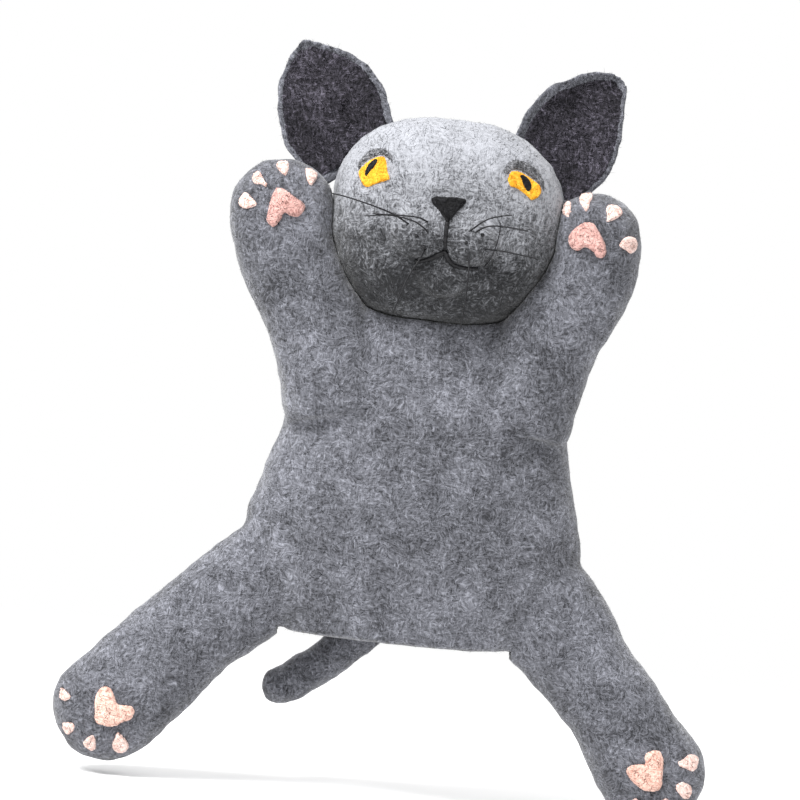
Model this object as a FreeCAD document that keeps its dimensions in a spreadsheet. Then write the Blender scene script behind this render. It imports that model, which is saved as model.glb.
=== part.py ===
import FreeCAD, Part

"""Felt cat hand puppet: a hollow wet-felted glove with a needle-felted head, in millimetres.

+Z is up and the front faces -Y. "left" and "right" in the names are the sides that a person facing
the puppet sees. The origin is the middle of the hem of the hand opening. A limb is modelled straight
up from its pivot, in its own frame, and the finished pieces are then placed.
"""

import math
import os
import re

import Sketcher
from FreeCAD import Placement, Rotation, Vector

X_AXIS, Y_AXIS, Z_AXIS = Vector(1, 0, 0), Vector(0, 1, 0), Vector(0, 0, 1)
FAR = 160.0  # longer than any piece, for tools that cut right through

DIMENSIONS = {
    # felt and fits
    "felt_wall": 4.0,
    "pad_relief": 1.6,
    "hinge_gap": 0.5,
    "wadding_gap": 0.15,
    # torso tube: half widths and half depths, from the hem up
    "hem_width": 52.0,
    "hem_depth": 27.0,
    "hip_height": 24.0,
    "hip_width": 66.0,
    "hip_depth": 30.0,
    "belly_height": 48.0,
    "belly_width": 78.0,
    "waist_height": 72.0,
    "waist_width": 72.0,
    "trunk_depth": 32.0,
    "chest_height": 96.0,
    "chest_width": 69.0,
    "shoulder_height": 120.0,
    "shoulder_width": 60.0,
    "neck_height": 142.0,
    "neck_width": 28.0,
    "neck_depth": 25.0,
    # head, a well-rounded block (half sizes), and the parts that take the finger
    "head_width": 48.0,
    "head_depth": 45.0,
    "head_tall": 51.4,
    "head_round": 40.0,
    "head_height": 201.0,
    "sleeve_radius": 18.0,
    "sleeve_wall": 3.0,
    "sleeve_base": 134.0,
    "sleeve_top": 160.0,
    "pocket_radius": 13.0,
    "pocket_wall": 2.0,
    "pocket_top": 192.0,
    # arms
    "arm_left_width": 23.5,
    "arm_right_width": 22.0,
    "arm_depth": 19.5,
    "arm_length": 83.0,
    "arm_bend": 43.0,
    "arm_wadding": 68.0,
    "arm_setback": -12.0,
    # legs
    "leg_left_width": 24.5,
    "leg_right_width": 24.0,
    "leg_depth": 18.0,
    "leg_length": 90.0,
    "leg_bend": 36.0,
    "leg_wadding": 40.0,
    "leg_setback": 0.0,
    # tail
    "tail_radius": 9.5,
    "tail_root": 20.0,
    "tail_curl": 34.0,
    "tail_turn": 60.0,
    "tail_run": 45.0,
    "tail_plane": 42.0,
    # ears: a leaf outline cut from a cupped sheet
    "ear_arc": 44.5,
    "ear_offset": 19.5,
    "ear_cup": 40.0,
    "ear_sheet": 4.0,
    "ear_inset": 4.5,
    "lining_sheet": 1.6,
    # face
    "muzzle_width": 11.8,
    "muzzle_depth": 13.0,
    "muzzle_tall": 11.5,
    "nose_lobe": 3.6,
    "nose_spread": 4.4,
    "nose_point": 10.5,
    "nose_relief": 4.0,
    "thread_width": 1.4,
    "thread_relief": 0.9,
    "iris_long": 8.6,
    "iris_short": 6.6,
    "iris_relief": 1.2,
    "lid_margin": 2.2,
    "lid_relief": 2.2,
    "pupil_long": 5.2,
    "pupil_short": 1.7,
    "pupil_relief": 1.9,
    "whisker_radius": 0.35,
    # pads of the paws
    "heart_lobe": 5.0,
    "heart_spread": 4.4,
    "heart_point": 11.0,
    "toe_long": 5.0,
    "toe_short": 3.9,
}

doc = FreeCAD.newDocument("felt_cat_hand_puppet")
sheet = doc.addObject("Spreadsheet::Sheet", "Dims")
for row, (alias, number) in enumerate(DIMENSIONS.items(), start=1):
    sheet.set(f"A{row}", alias)
    sheet.set(f"B{row}", str(number))
    sheet.setAlias(f"B{row}", alias)
doc.recompute()

ALIASES = re.compile(r"\b(" + "|".join(sorted(DIMENSIONS, key=len, reverse=True)) + r")\b")
nodes = {}


def size(alias):
    """A driving dimension's number, read from the sheet."""
    return float(sheet.get(alias))


def bind(obj, sizes):
    """Binds an object's properties to formulas of the sheet's aliases."""
    for prop, formula in sizes.items():
        obj.setExpression(prop, ALIASES.sub(r"Dims.\1", str(formula)))
    return obj


def node(name, obj):
    """Names a finished sub-part: its label is its file's name."""
    obj.Label = name
    nodes[name] = obj
    return obj


# ---------------------------------------------------------------- primitives and booleans


def cylinder(name, radius, height, place=None, angle=360):
    obj = doc.addObject("Part::Cylinder", name)
    bind(obj, {"Radius": radius, "Height": height})
    obj.Angle = angle
    if place:
        obj.Placement = place
    return obj


def block(name, length, width, height, place):
    obj = doc.addObject("Part::Box", name)
    bind(obj, {"Length": length, "Width": width, "Height": height})
    obj.Placement = place
    return obj


def ellipsoid(name, width, depth, tall, centre):
    """An ellipsoid with these half sizes along X, Y and Z."""
    obj = doc.addObject("Part::Ellipsoid", name)
    bind(obj, {"Radius1": tall, "Radius2": width, "Radius3": depth})
    x, y, z = centre
    return bind(obj, {"Placement.Base.x": x, "Placement.Base.y": y, "Placement.Base.z": z})


def ellipse(name, long, short, place=None):
    obj = doc.addObject("Part::Ellipse", name)
    bind(obj, {"MajorRadius": long, "MinorRadius": short})
    if place:
        obj.Placement = place
    return obj


def extrusion(name, base, direction, length):
    obj = doc.addObject("Part::Extrusion", name)
    obj.Base = base
    obj.DirMode = "Custom"
    obj.Dir = direction
    obj.Solid = True
    return bind(obj, {"LengthFwd": length})


def cut(name, base, tool):
    obj = doc.addObject("Part::Cut", name)
    obj.Base, obj.Tool = base, tool
    return obj


def common(name, base, tool):
    obj = doc.addObject("Part::Common", name)
    obj.Base, obj.Tool = base, tool
    return obj


def fuse(name, shapes):
    obj = doc.addObject("Part::MultiFuse", name)
    obj.Shapes = shapes
    return obj


def upright(x, z, turn=0.0):
    """Stands a flat outline up facing -Y, its own X turned clockwise from +Z in the front view."""
    stand = Rotation(Z_AXIS, X_AXIS, Y_AXIS, "ZXY")
    return Placement(Vector(x, 0, z), Rotation(Y_AXIS, turn) * stand)


def oval_prism(name, long, short, x, z, turn):
    """A prism with an oval outline, reaching forwards from Y = 0."""
    return extrusion(f"{name}_prism", ellipse(name, long, short, upright(x, z, turn)), -Y_AXIS, FAR)


def heart_prism(name, prefix, x, z, turn):
    """A prism forwards from Y = 0: two round lobes side by side, and a point at +Z until turned."""
    body = doc.addObject("PartDesign::Body", f"{name}_body")
    sketch = body.newObject("Sketcher::SketchObject", f"{name}_outline")
    plane = next(f for f in body.Origin.OriginFeatures if f.Role == "XZ_Plane")
    sketch.AttachmentSupport = [(plane, "")]
    sketch.MapMode = "FlatFace"
    lobe, spread, point = (size(f"{prefix}_{part}") for part in ("lobe", "spread", "point"))
    notch_angle = math.pi + math.acos(min(1.0, spread / lobe)) if spread < lobe else math.pi
    touch = math.atan2(point, -spread) - math.acos(lobe / math.hypot(spread, point))
    tip = Vector(0, point, 0)
    for sign in (1, -1):
        ends = (notch_angle, touch + 2 * math.pi)
        if sign < 0:
            ends = (math.pi - touch, 3 * math.pi - notch_angle)
        centre = Vector(sign * spread, 0, 0)
        sketch.addGeometry(Part.ArcOfCircle(Part.Circle(centre, Z_AXIS, lobe), *ends), False)
        edge = centre + Vector(sign * math.cos(touch), math.sin(touch), 0) * lobe
        sketch.addGeometry(Part.LineSegment(edge, tip), False)
    meet = [
        ("Tangent", 0, 2, 1, 1),
        ("Tangent", 2, 1, 3, 1),
        ("Coincident", 1, 2, 3, 2),
        ("PointOnObject", 1, 2, -2),
        ("Equal", 0, 2),
        ("Symmetric", 0, 3, 2, 3, -2),
        ("PointOnObject", 0, 3, -1),
    ]
    if spread < lobe:
        meet.append(("Coincident", 0, 1, 2, 2))
    else:
        sketch.addGeometry(
            Part.LineSegment(Vector(spread - lobe, 0, 0), Vector(lobe - spread, 0, 0)), False
        )
        meet += [
            ("Coincident", 0, 1, 4, 1),
            ("Coincident", 2, 2, 4, 2),
            ("Horizontal", 4),
            ("PointOnObject", 4, 1, -1),
        ]
    for rule in meet:
        sketch.addConstraint(Sketcher.Constraint(*rule))
    for label, rule in (
        ("lobe", ("Radius", 0, lobe)),
        ("spread", ("DistanceX", -1, 1, 0, 3, spread)),
        ("point", ("DistanceY", -1, 1, 1, 2, point)),
    ):
        index = sketch.addConstraint(Sketcher.Constraint(*rule))
        sketch.renameConstraint(index, label)
        sketch.setExpression(f"Constraints.{label}", f"Dims.{prefix}_{label}")
    pad = body.newObject("PartDesign::Pad", f"{name}_pad")
    pad.Profile = sketch
    pad.Length = FAR
    body.Placement = Placement(Vector(x, 0, z), Rotation(Y_AXIS, turn))
    doc.recompute()
    if pad.Shape.BoundBox.YMax > 1:
        pad.Reversed = True
    return body


# ---------------------------------------------------------------- hinge shapes


def across(axis, pivot):
    """Where a cylinder goes to lie along an axis, with its middle on the pivot."""
    turn = Rotation(Z_AXIS, axis)
    return Placement(pivot - turn.multVec(Vector(0, 0, FAR / 2)), turn)


def rounded_root(name, axis, pivot, radius):
    """Everything above the pivot and a rounded end below it: what is kept of a limb at its hinge."""
    barrel = cylinder(f"{name}_barrel", radius, FAR, across(axis, pivot))
    corner = pivot - Vector(FAR / 2, FAR / 2, 0)
    above = block(f"{name}_above", FAR, FAR, FAR, Placement(corner, Rotation()))
    return fuse(name, [barrel, above])


def swept_room(name, axis, pivot, radius, angles):
    """The room that a limb of this half width needs as it turns about a hinge through the angles."""
    shapes = [cylinder(f"{name}_barrel", f"{radius} + hinge_gap", FAR, across(axis, pivot))]
    half = size(radius) + size("hinge_gap") * 0.6
    width = f"2 * ({radius} + hinge_gap * 0.6)"
    for i, angle in enumerate(angles):
        if axis == Y_AXIS:
            corner, length, depth = Vector(-half, -FAR / 2, 0), width, FAR
        else:
            corner, length, depth = Vector(-FAR / 2, -half, 0), FAR, width
        place = Placement(pivot, Rotation(axis, angle)) * Placement(corner, Rotation())
        shapes.append(block(f"{name}_way{i}", length, depth, FAR, place))
    return fuse(name, shapes)


# Pivot, lean in the front view and the leans that each limb's hinge goes through.
LIMBS = {
    "arm_left": (Vector(-50.5, 0, 120), -20.6, (0, -25, -50, -75)),
    "arm_right": (Vector(54, 0, 120), 15.0, (0, 25, 50, 75)),
    "leg_left": (Vector(-76, 0, 24), 220.8, (20, 0, -25)),
    "leg_right": (Vector(72, 0, 17), 141.4, (-20, 0, 25)),
}
BEND_TRAVEL = (-11, 10, 30, 50)  # bends forwards at the elbow or knee are positive


def pivot_of(limb):
    pivot, _, _ = LIMBS[limb]
    return pivot + Vector(0, size(f"{limb[:3]}_setback"), 0)


# ---------------------------------------------------------------- torso

TORSO_SECTIONS = (
    ("0", "hem_width", "hem_depth"),
    ("hip_height", "hip_width", "hip_depth"),
    ("belly_height", "belly_width", "hip_depth + 1"),
    ("waist_height", "waist_width", "trunk_depth"),
    ("chest_height", "chest_width", "trunk_depth"),
    ("shoulder_height", "shoulder_width", "hip_depth"),
    ("neck_height", "neck_width", "neck_depth"),
)


def torso_loft(name, wall):
    """A closed loft through the torso's sections, drawn in by a wall."""
    sections = []
    for i, (height, width, depth) in enumerate(TORSO_SECTIONS):
        oval = ellipse(f"{name}_s{i}", f"{width} - {wall}", f"{depth} - {wall}")
        sections.append(bind(oval, {"Placement.Base.z": height}))
    obj = doc.addObject("Part::Loft", name)
    obj.Sections = sections
    obj.Solid = True
    obj.MaxDegree = 3
    return obj


def make_torso():
    outer = torso_loft("torso_outer", "0")
    hollows = [torso_loft("torso_inner", "felt_wall")]
    for limb, (_, lean, travel) in LIMBS.items():
        leans = [lean + step for step in travel]
        hollows.append(swept_room(f"{limb}_room", Y_AXIS, pivot_of(limb), f"{limb}_width", leans))
    node("torso_glove", cut("torso", outer, fuse("torso_hollows", hollows)))


# ---------------------------------------------------------------- limbs


def limb_solid(limb, suffix, grow):
    """A straight limb with a domed end, grown all round by a formula."""
    name = f"{limb}_{suffix}"
    width, depth = f"{limb}_width {grow}", f"{limb[:3]}_depth {grow}"
    oval = bind(
        ellipse(f"{name}_section", width, depth), {"Placement.Base.z": f"-{limb}_width - 10"}
    )
    tube = extrusion(f"{name}_tube", oval, Z_AXIS, f"{limb[:3]}_length + {limb}_width + 10")
    dome = ellipsoid(f"{name}_dome", width, depth, width, ("0", "0", f"{limb[:3]}_length"))
    return fuse(name, [tube, dome])


def make_limb(limb, upper_name, end_name, toes):
    """A hollow felt limb in two pieces, split at its bend, with the wadding and pads of its end."""
    kind = limb[:3]
    pivot, (_, lean, _) = pivot_of(limb), LIMBS[limb]
    place = Placement(pivot, Rotation(Y_AXIS, lean))
    bend = Vector(0, 0, size(f"{kind}_bend"))

    outer = limb_solid(limb, "outer", "")
    felt = cut(f"{limb}_felt", outer, limb_solid(limb, "inner", "- felt_wall"))
    root = rounded_root(f"{limb}_root", Y_AXIS, Vector(), f"{limb}_width")
    room = swept_room(f"{limb}_bend_room", X_AXIS, bend, f"{kind}_depth", BEND_TRAVEL)
    bend_root = rounded_root(f"{limb}_bend_root", X_AXIS, bend, f"{kind}_depth")
    upper = cut(f"{limb}_upper", common(f"{limb}_rooted", felt, root), room)
    end = common(f"{limb}_end", felt, bend_root)

    core = limb_solid(limb, "core", "- felt_wall - wadding_gap")
    corner = Vector(-FAR / 2, -FAR / 2, size(f"{kind}_wadding"))
    beyond = block(f"{limb}_beyond", FAR, FAR, FAR, Placement(corner, Rotation()))
    wadding = common(f"{limb}_stuffing", core, beyond)

    grown = limb_solid(limb, "grown", "+ pad_relief")
    centre = size(f"{kind}_length")

    def pad(label, prism):
        return cut(f"{limb}_{label}", common(f"{limb}_{label}_block", grown, prism), outer)

    pads = {"palm_pad": pad("palm", heart_prism(f"{limb}_heart", "heart", 0, centre - 2, 0))}
    for i, (bearing, distance) in enumerate(toes, start=1):
        x = distance * math.sin(math.radians(bearing))
        z = centre + distance * math.cos(math.radians(bearing))
        oval = oval_prism(f"{limb}_toe{i}_oval", "toe_long", "toe_short", x, z, bearing)
        pads[f"toe_pad_{i}"] = pad(f"toe{i}", oval)

    named = {upper_name: upper, end_name: end, f"{end_name}_wadding": wadding}
    named.update({f"{end_name}_{pad}": shape for pad, shape in pads.items()})
    for name, shape in named.items():
        shape.Placement = place
        node(name, shape)


# ---------------------------------------------------------------- neck and head


def head_solid(name, grow):
    """The head's rounded block, grown all round by a formula."""
    body = doc.addObject("PartDesign::Body", name)
    blank = body.newObject("PartDesign::AdditiveBox", f"{name}_block")
    for prop, half, place in (
        ("Length", "head_width", "x"),
        ("Width", "head_depth", "y"),
        ("Height", "head_tall", "z"),
    ):
        bind(blank, {prop: f"2 * ({half} {grow})"})
        bind(body, {f"Placement.Base.{place}": f"-({half} {grow})"})
    bind(body, {"Placement.Base.z": f"head_height - (head_tall {grow})"})
    doc.recompute()
    fillet = body.newObject("PartDesign::Fillet", f"{name}_rounding")
    fillet.Base = (blank, [f"Edge{i}" for i in range(1, 13)])
    bind(fillet, {"Radius": f"head_round {grow}"})
    body.Tip = fillet
    return body


def standing(name, radius, base, top):
    """A cylinder about the Z axis between two heights."""
    return bind(cylinder(name, radius, f"{top} - ({base})"), {"Placement.Base.z": base})


def finger_room(name, grow, base):
    """The finger pocket's outline: a tube from a height up, with a domed top."""
    radius = f"pocket_radius {grow}"
    tube = standing(f"{name}_tube", radius, base, "pocket_top")
    dome = ellipsoid(f"{name}_dome", radius, radius, radius, ("0", "0", "pocket_top"))
    return fuse(name, [tube, dome])


def make_neck_and_head():
    sleeve = standing("sleeve", "sleeve_radius", "sleeve_base", "sleeve_top")
    bore = standing(
        "sleeve_bore", "sleeve_radius - sleeve_wall", "sleeve_base - 1", "sleeve_top + 1"
    )
    node("neck_sleeve", cut("sleeve_ring", sleeve, bore))

    head = head_solid("head_outer", "")
    socket = standing(
        "head_socket", "sleeve_radius + hinge_gap", "sleeve_base - 20", "sleeve_top + 1"
    )
    hollow = fuse("head_hollow", [head_solid("head_inner", "- felt_wall"), socket])
    node("head_felt", cut("head_shell", head, hollow))

    rooms = [
        finger_room("finger_hole", "+ wadding_gap", "sleeve_top - 20"),
        standing(
            "wadding_socket",
            "sleeve_radius + hinge_gap + wadding_gap",
            "sleeve_base - 20",
            "sleeve_top + 1.2",
        ),
    ]
    core = head_solid("head_core", "- felt_wall - wadding_gap")
    node("head_wadding", cut("head_stuffing", core, fuse("wadding_rooms", rooms)))
    tube = standing("pocket_outer", "pocket_radius", "sleeve_top + 1.4", "pocket_top")
    bore = standing(
        "pocket_bore", "pocket_radius - pocket_wall", "sleeve_top - 20", "pocket_top + 1"
    )
    node("finger_pocket", cut("pocket_tube", tube, bore))
    dome = cut(
        "pocket_dome",
        finger_room("pocket_tip_outer", "", "pocket_top - 30"),
        finger_room("pocket_tip_inner", "- pocket_wall", "pocket_top - 31"),
    )
    above = standing("pocket_tip_reach", "pocket_radius + 5", "pocket_top", "pocket_top + 40")
    node("finger_pocket_tip", common("pocket_tip", dome, above))
    return head


def make_ear(side, sign, head, lean):
    """A cupped leaf of felt on the head and the dark lining in its hollow."""
    place = Placement(Vector(sign * 55, 20, 248), Rotation(Y_AXIS, sign * lean))
    turn = Rotation(Z_AXIS, Y_AXIS)

    def leaf(name, grow, near, far):
        shapes = []
        for i, way in enumerate((1, -1)):
            at = Placement(Vector(way * size("ear_offset"), -size("ear_cup") / 2, 0), turn)
            shapes.append(cylinder(f"{name}_side{i}", f"ear_arc {grow}", FAR, at))
        outline = common(f"{name}_outline", *shapes)
        rings = []
        for label, radius in (("far", far), ("near", near)):
            ring = cylinder(f"{name}_{label}", radius, FAR)
            ring.Placement = Placement(Vector(0, -size("ear_cup"), -FAR / 2), Rotation())
            rings.append(ring)
        return common(name, outline, cut(f"{name}_cup", *rings))

    for label, grow, near, far in (
        (f"ear_{side}", "", "ear_cup", "ear_cup + ear_sheet"),
        (f"ear_{side}_lining", "- ear_inset", "ear_cup - lining_sheet", "ear_cup"),
    ):
        sheet_leaf = leaf(f"{label}_leaf", grow, near, far)
        sheet_leaf.Placement = place
        node(label, cut(f"{label}_trimmed", sheet_leaf, head))


def arc_strip(name, x, z, radius, start, sweep):
    """A narrow strip of thread along an arc, as a prism forwards from Y = 0."""
    turn = Rotation(Z_AXIS, -Y_AXIS)
    faces = turn.multVec(X_AXIS)
    lead = math.degrees(math.atan2(faces.z, faces.x))
    place = Placement(Vector(x, 0, z), Rotation(Y_AXIS, lead - start) * turn)
    outer = cylinder(f"{name}_outer", f"{radius} + thread_width / 2", FAR, place, sweep)
    inner = cylinder(f"{name}_inner", f"{radius} - thread_width / 2", FAR, place)
    return cut(name, outer, inner)


# Centre (X, Z), lean, pupil offset and pupil lean of each eye, in the front view.
EYES = {"left": (-33, 221.5, 72, 0.2, 40), "right": (32.5, 223.0, 118, -0.4, -35)}
MUZZLES = {"left": (-11.4, -39.5, 192.5), "right": (12.6, -39.5, 192.0)}

# Root and tip of each whisker and how far, and towards which side, its middle bows.
WHISKERS = {
    "left": (
        ((-15, -45, 198), (-54, -57, 209), (0, 0, 3)),
        ((-7, -45, 195), (-38, -61, 200), (0, 0, 4)),
        ((-8, -45, 199.5), (-34, -60, 201.5), (0, 0, 2)),
        ((-8, -46, 188.5), (-20, -59, 155), (-2, -2, 0)),
    ),
    "right": (
        ((11, -45, 197), (32, -60, 207.5), (0, 0, 3)),
        ((15, -45, 197.5), (40.5, -59, 200.5), (0, 0, 2)),
        ((20, -42, 190.5), (45.5, -56, 188), (0, 0, 2)),
        ((13, -46, 188.5), (13, -59, 152), (2, -2, 0)),
        ((19, -42, 183), (26, -58, 204.5), (4, 0, -1)),
    ),
}


def whisker(name, root, tip, bow):
    """A thread bowed along an arc, as part of a ring through its two ends."""
    root, tip, bow = Vector(*root), Vector(*tip), Vector(*bow)
    chord = tip - root
    side = bow - chord * (bow.dot(chord) / chord.dot(chord))
    sag = side.Length
    radius = (chord.Length / 2) ** 2 / (2 * sag) + sag / 2
    outward = side.normalize()
    middle = root + chord * 0.5 + outward * (sag - radius)
    half = math.degrees(math.asin(chord.Length / 2 / radius))
    across_ring = outward.cross(chord).normalize()
    ring = doc.addObject("Part::Torus", name)
    ring.Radius1 = radius
    bind(ring, {"Radius2": "whisker_radius"})
    ring.Angle3 = 2 * half
    frame = Rotation(outward, across_ring.cross(outward), across_ring, "ZXY")
    ring.Placement = Placement(middle, frame * Rotation(Z_AXIS, -half))
    return ring


def make_face(head):
    for side, eye in EYES.items():
        x, z, lean, shift, pupil_lean = eye
        prisms = {
            "iris": ("iris_long", "iris_short", x, z, lean),
            "lid": ("iris_long + lid_margin", "iris_short + lid_margin", x, z + 1.6, lean),
            "pupil": ("pupil_long", "pupil_short", x + shift, z, pupil_lean),
        }
        ovals = {k: oval_prism(f"{k}_{side}_oval", *sizes) for k, sizes in prisms.items()}
        iris_skin = cut(f"iris_{side}_skin", head_solid(f"iris_{side}_top", "+ iris_relief"), head)
        node(f"iris_{side}", common(f"iris_{side}_felt", iris_skin, ovals["iris"]))
        lid_skin = cut(f"lid_{side}_skin", head_solid(f"lid_{side}_top", "+ lid_relief"), head)
        lid = common(f"lid_{side}_felt", lid_skin, ovals["lid"])
        node(f"eyelid_{side}", cut(f"lid_{side}_crescent", lid, ovals["iris"]))
        top = head_solid(f"pupil_{side}_top", "+ pupil_relief")
        base = head_solid(f"pupil_{side}_base", "+ iris_relief")
        pupil_skin = cut(f"pupil_{side}_skin", top, base)
        disc = common(f"pupil_{side}_disc", pupil_skin, ovals["pupil"])
        node(f"pupil_{side}", common(f"pupil_{side}_felt", disc, ovals["iris"]))

    mounds, grown = [head], [head_solid("face_grown", "+ thread_relief")]
    for side, centre in MUZZLES.items():
        centre = [str(number) for number in centre]
        for suffix, grow, shapes in (("", "", mounds), ("_grown", "+ thread_relief", grown)):
            sizes = [f"muzzle_{part} {grow}" for part in ("width", "depth", "tall")]
            shapes.append(ellipsoid(f"mound_{side}{suffix}", *sizes, centre))
        node(f"muzzle_{side}", cut(f"muzzle_{side}_trimmed", mounds[-1], head))
    face = fuse("face", mounds)

    nose_skin = cut("nose_skin", head_solid("nose_top", "+ nose_relief"), face)
    node("nose", common("nose_felt", nose_skin, heart_prism("nose_heart", "nose", 0.6, 211, 180)))

    corner = Vector(0.6 - size("thread_width") / 2, -FAR, 187)
    strips = [
        block("philtrum", "thread_width", FAR, 12.5, Placement(corner, Rotation())),
        arc_strip("lip_left", -10.5, 196.5, "15.2", -85, 48),
        arc_strip("lip_right", 13.5, 194.5, "14.2", 213, 80),
    ]
    thread_skin = cut("thread_skin", fuse("face_top", grown), face)
    node("mouth_thread", common("mouth", thread_skin, fuse("mouth_strips", strips)))

    for side, threads in WHISKERS.items():
        rings = [whisker(f"whisker_{side}_{i}", *ends) for i, ends in enumerate(threads, start=1)]
        bunch = doc.addObject("Part::Compound", f"bunch_{side}")
        bunch.Links = rings
        node(f"whiskers_{side}", cut(f"whiskers_{side}_trimmed", bunch, face))


# ---------------------------------------------------------------- tail


def make_tail():
    """A tube that hangs from a round root, curls to one side and ends a little fuller."""
    plane, radius = size("tail_plane"), "tail_radius"
    root_z, curl, turn = size("tail_root"), size("tail_curl"), size("tail_turn")
    root = Vector(0, plane, root_z)
    stub = cylinder("tail_stub", "tail_radius - 1.5", "tail_plane - trunk_depth - 0.5")
    stub.Placement = Placement(root, Rotation(Z_AXIS, -Y_AXIS))
    swell = "tail_radius + 0.8"
    knob = ellipsoid("tail_knob", swell, swell, swell, ("0", "tail_plane", "tail_root"))
    hook = doc.addObject("Part::Torus", "tail_hook")
    bind(hook, {"Radius1": "tail_curl", "Radius2": radius, "Angle3": "tail_turn"})
    frame = Rotation(X_AXIS, -Z_AXIS, Y_AXIS, "ZXY")
    hook.Placement = Placement(Vector(-curl, plane, root_z), frame)
    angle = math.radians(turn)
    bend_end = Vector(-curl + curl * math.cos(angle), plane, root_z - curl * math.sin(angle))
    heading = Vector(-math.sin(angle), 0, -math.cos(angle))
    run = cylinder("tail_run_tube", radius, "tail_run")
    run.Placement = Placement(bend_end, Rotation(Z_AXIS, heading))
    tip = bend_end + heading * size("tail_run")
    ball = ellipsoid("tail_ball", swell, swell, swell, [str(c) for c in tip])
    length = fuse("tail_length", [hook, run, ball])
    node("tail", fuse("tail_whole", [length, fuse("tail_top", [stub, knob])]))


make_torso()
make_limb("arm_left", "arm_sleeve_left", "front_paw_left", ((-63, 16), (-24, 16.5), (15, 16.5), (54, 16)))
make_limb(
    "arm_right", "arm_sleeve_right", "front_paw_right", ((-60, 15), (-24, 15.5), (14, 15.5), (60, 15))
)
make_limb("leg_left", "thigh_left", "hind_leg_left", ((-57, 16.5), (-18, 17), (18, 17), (57, 16.5)))
make_limb("leg_right", "thigh_right", "hind_leg_right", ((-57, 16.5), (-18, 17), (18, 17), (57, 16.5)))
head_outer = make_neck_and_head()
make_ear("left", -1, head_outer, 32.5)
make_ear("right", 1, head_outer, 34.0)
make_face(head_outer)
make_tail()
doc.recompute()

faults = [o.Label for o in doc.Objects if {"Invalid", "Error"} & set(o.State)]
if faults:
    raise RuntimeError(f"not recomputed: {faults}")
for name, obj in nodes.items():
    shape = obj.Shape
    if shape.isNull() or not shape.isValid() or not shape.Solids:
        raise RuntimeError(f"{name} has no valid solid")
    if obj.isDerivedFrom("Part::Cut"):
        before = obj.Base.Shape.Volume
        if not 0 < shape.Volume < before:
            raise RuntimeError(f"{name}: its cut took nothing away, or everything")
    print(f"{name}: {shape.Volume:.1f} mm3 in {len(shape.Solids)} solid(s)")

os.makedirs("parts", exist_ok=True)
for name, obj in nodes.items():
    obj.Shape.exportStep(f"parts/{name}.step")
print(f"{len(nodes)} parts written")
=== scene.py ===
import math

import bmesh
import bpy
import numpy as np
from mathutils import Matrix, Vector, noise
from mathutils.bvhtree import BVHTree
from mathutils.geometry import delaunay_2d_cdt


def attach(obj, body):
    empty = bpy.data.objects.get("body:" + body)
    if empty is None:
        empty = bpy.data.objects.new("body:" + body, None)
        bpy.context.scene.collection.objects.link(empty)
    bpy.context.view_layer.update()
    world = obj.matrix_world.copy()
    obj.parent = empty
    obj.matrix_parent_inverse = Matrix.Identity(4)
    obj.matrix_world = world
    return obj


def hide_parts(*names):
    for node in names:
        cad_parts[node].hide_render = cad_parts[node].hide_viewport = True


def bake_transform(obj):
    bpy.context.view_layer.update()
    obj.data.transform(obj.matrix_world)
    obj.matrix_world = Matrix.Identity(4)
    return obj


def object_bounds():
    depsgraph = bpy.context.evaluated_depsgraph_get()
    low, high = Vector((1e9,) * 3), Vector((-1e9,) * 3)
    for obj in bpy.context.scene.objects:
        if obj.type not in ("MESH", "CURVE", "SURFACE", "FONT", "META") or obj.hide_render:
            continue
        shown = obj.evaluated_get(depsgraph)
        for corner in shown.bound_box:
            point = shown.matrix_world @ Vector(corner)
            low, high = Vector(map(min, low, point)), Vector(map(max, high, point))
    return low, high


# Everything is worked out in millimetres in the part's own frame, and made in metres.
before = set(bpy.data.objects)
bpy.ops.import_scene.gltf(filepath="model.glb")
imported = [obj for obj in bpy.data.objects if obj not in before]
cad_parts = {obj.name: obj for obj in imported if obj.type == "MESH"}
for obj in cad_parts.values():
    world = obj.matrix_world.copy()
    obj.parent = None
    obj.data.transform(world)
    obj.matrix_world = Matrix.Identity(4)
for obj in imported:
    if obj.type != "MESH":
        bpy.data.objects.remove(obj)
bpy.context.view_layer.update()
rng = np.random.default_rng(11)
NODES = set(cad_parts)
X = np.array([1.0, 0.0, 0.0])
Y = np.array([0.0, 1.0, 0.0])
MM = 0.001
PER_M = 1000
RAY_FROM = -200  # well in front of the face, where the rays that find a surface start
SIDES = (("left", -1), ("right", 1))


# ---- materials


def tree_of(name):
    mat = bpy.data.materials.new(name)
    mat.use_nodes = True
    tree = mat.node_tree
    tree.nodes.clear()
    out = tree.nodes.new("ShaderNodeOutputMaterial")
    shader = tree.nodes.new("ShaderNodeBsdfPrincipled")
    tree.links.new(shader.outputs[0], out.inputs[0])
    return mat, tree, shader


def put(node, **values):
    """Sets a node's own sockets, named with _ for each space."""
    for name, value in values.items():
        node.inputs[name.replace("_", " ")].default_value = value


def raised(tree, shader, height, strength, distance):
    """Small relief from a height, in metres."""
    bump = tree.nodes.new("ShaderNodeBump")
    put(bump, Strength=strength, Distance=distance)
    tree.links.new(height, bump.inputs["Height"])
    tree.links.new(bump.outputs[0], shader.inputs["Normal"])


def grain(tree, vector, scale, detail, rough, squeeze=None, turn=(0, 0, 0)):
    """A noise, drawn out into streaks where squeeze is given."""
    if squeeze:
        mapping = tree.nodes.new("ShaderNodeMapping")
        put(mapping, Rotation=turn, Scale=squeeze)
        tree.links.new(vector, mapping.inputs["Vector"])
        vector = mapping.outputs[0]
    node = tree.nodes.new("ShaderNodeTexNoise")
    put(node, Scale=scale, Detail=detail, Roughness=rough)
    tree.links.new(vector, node.inputs["Vector"])
    return node.outputs["Fac"]


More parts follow.
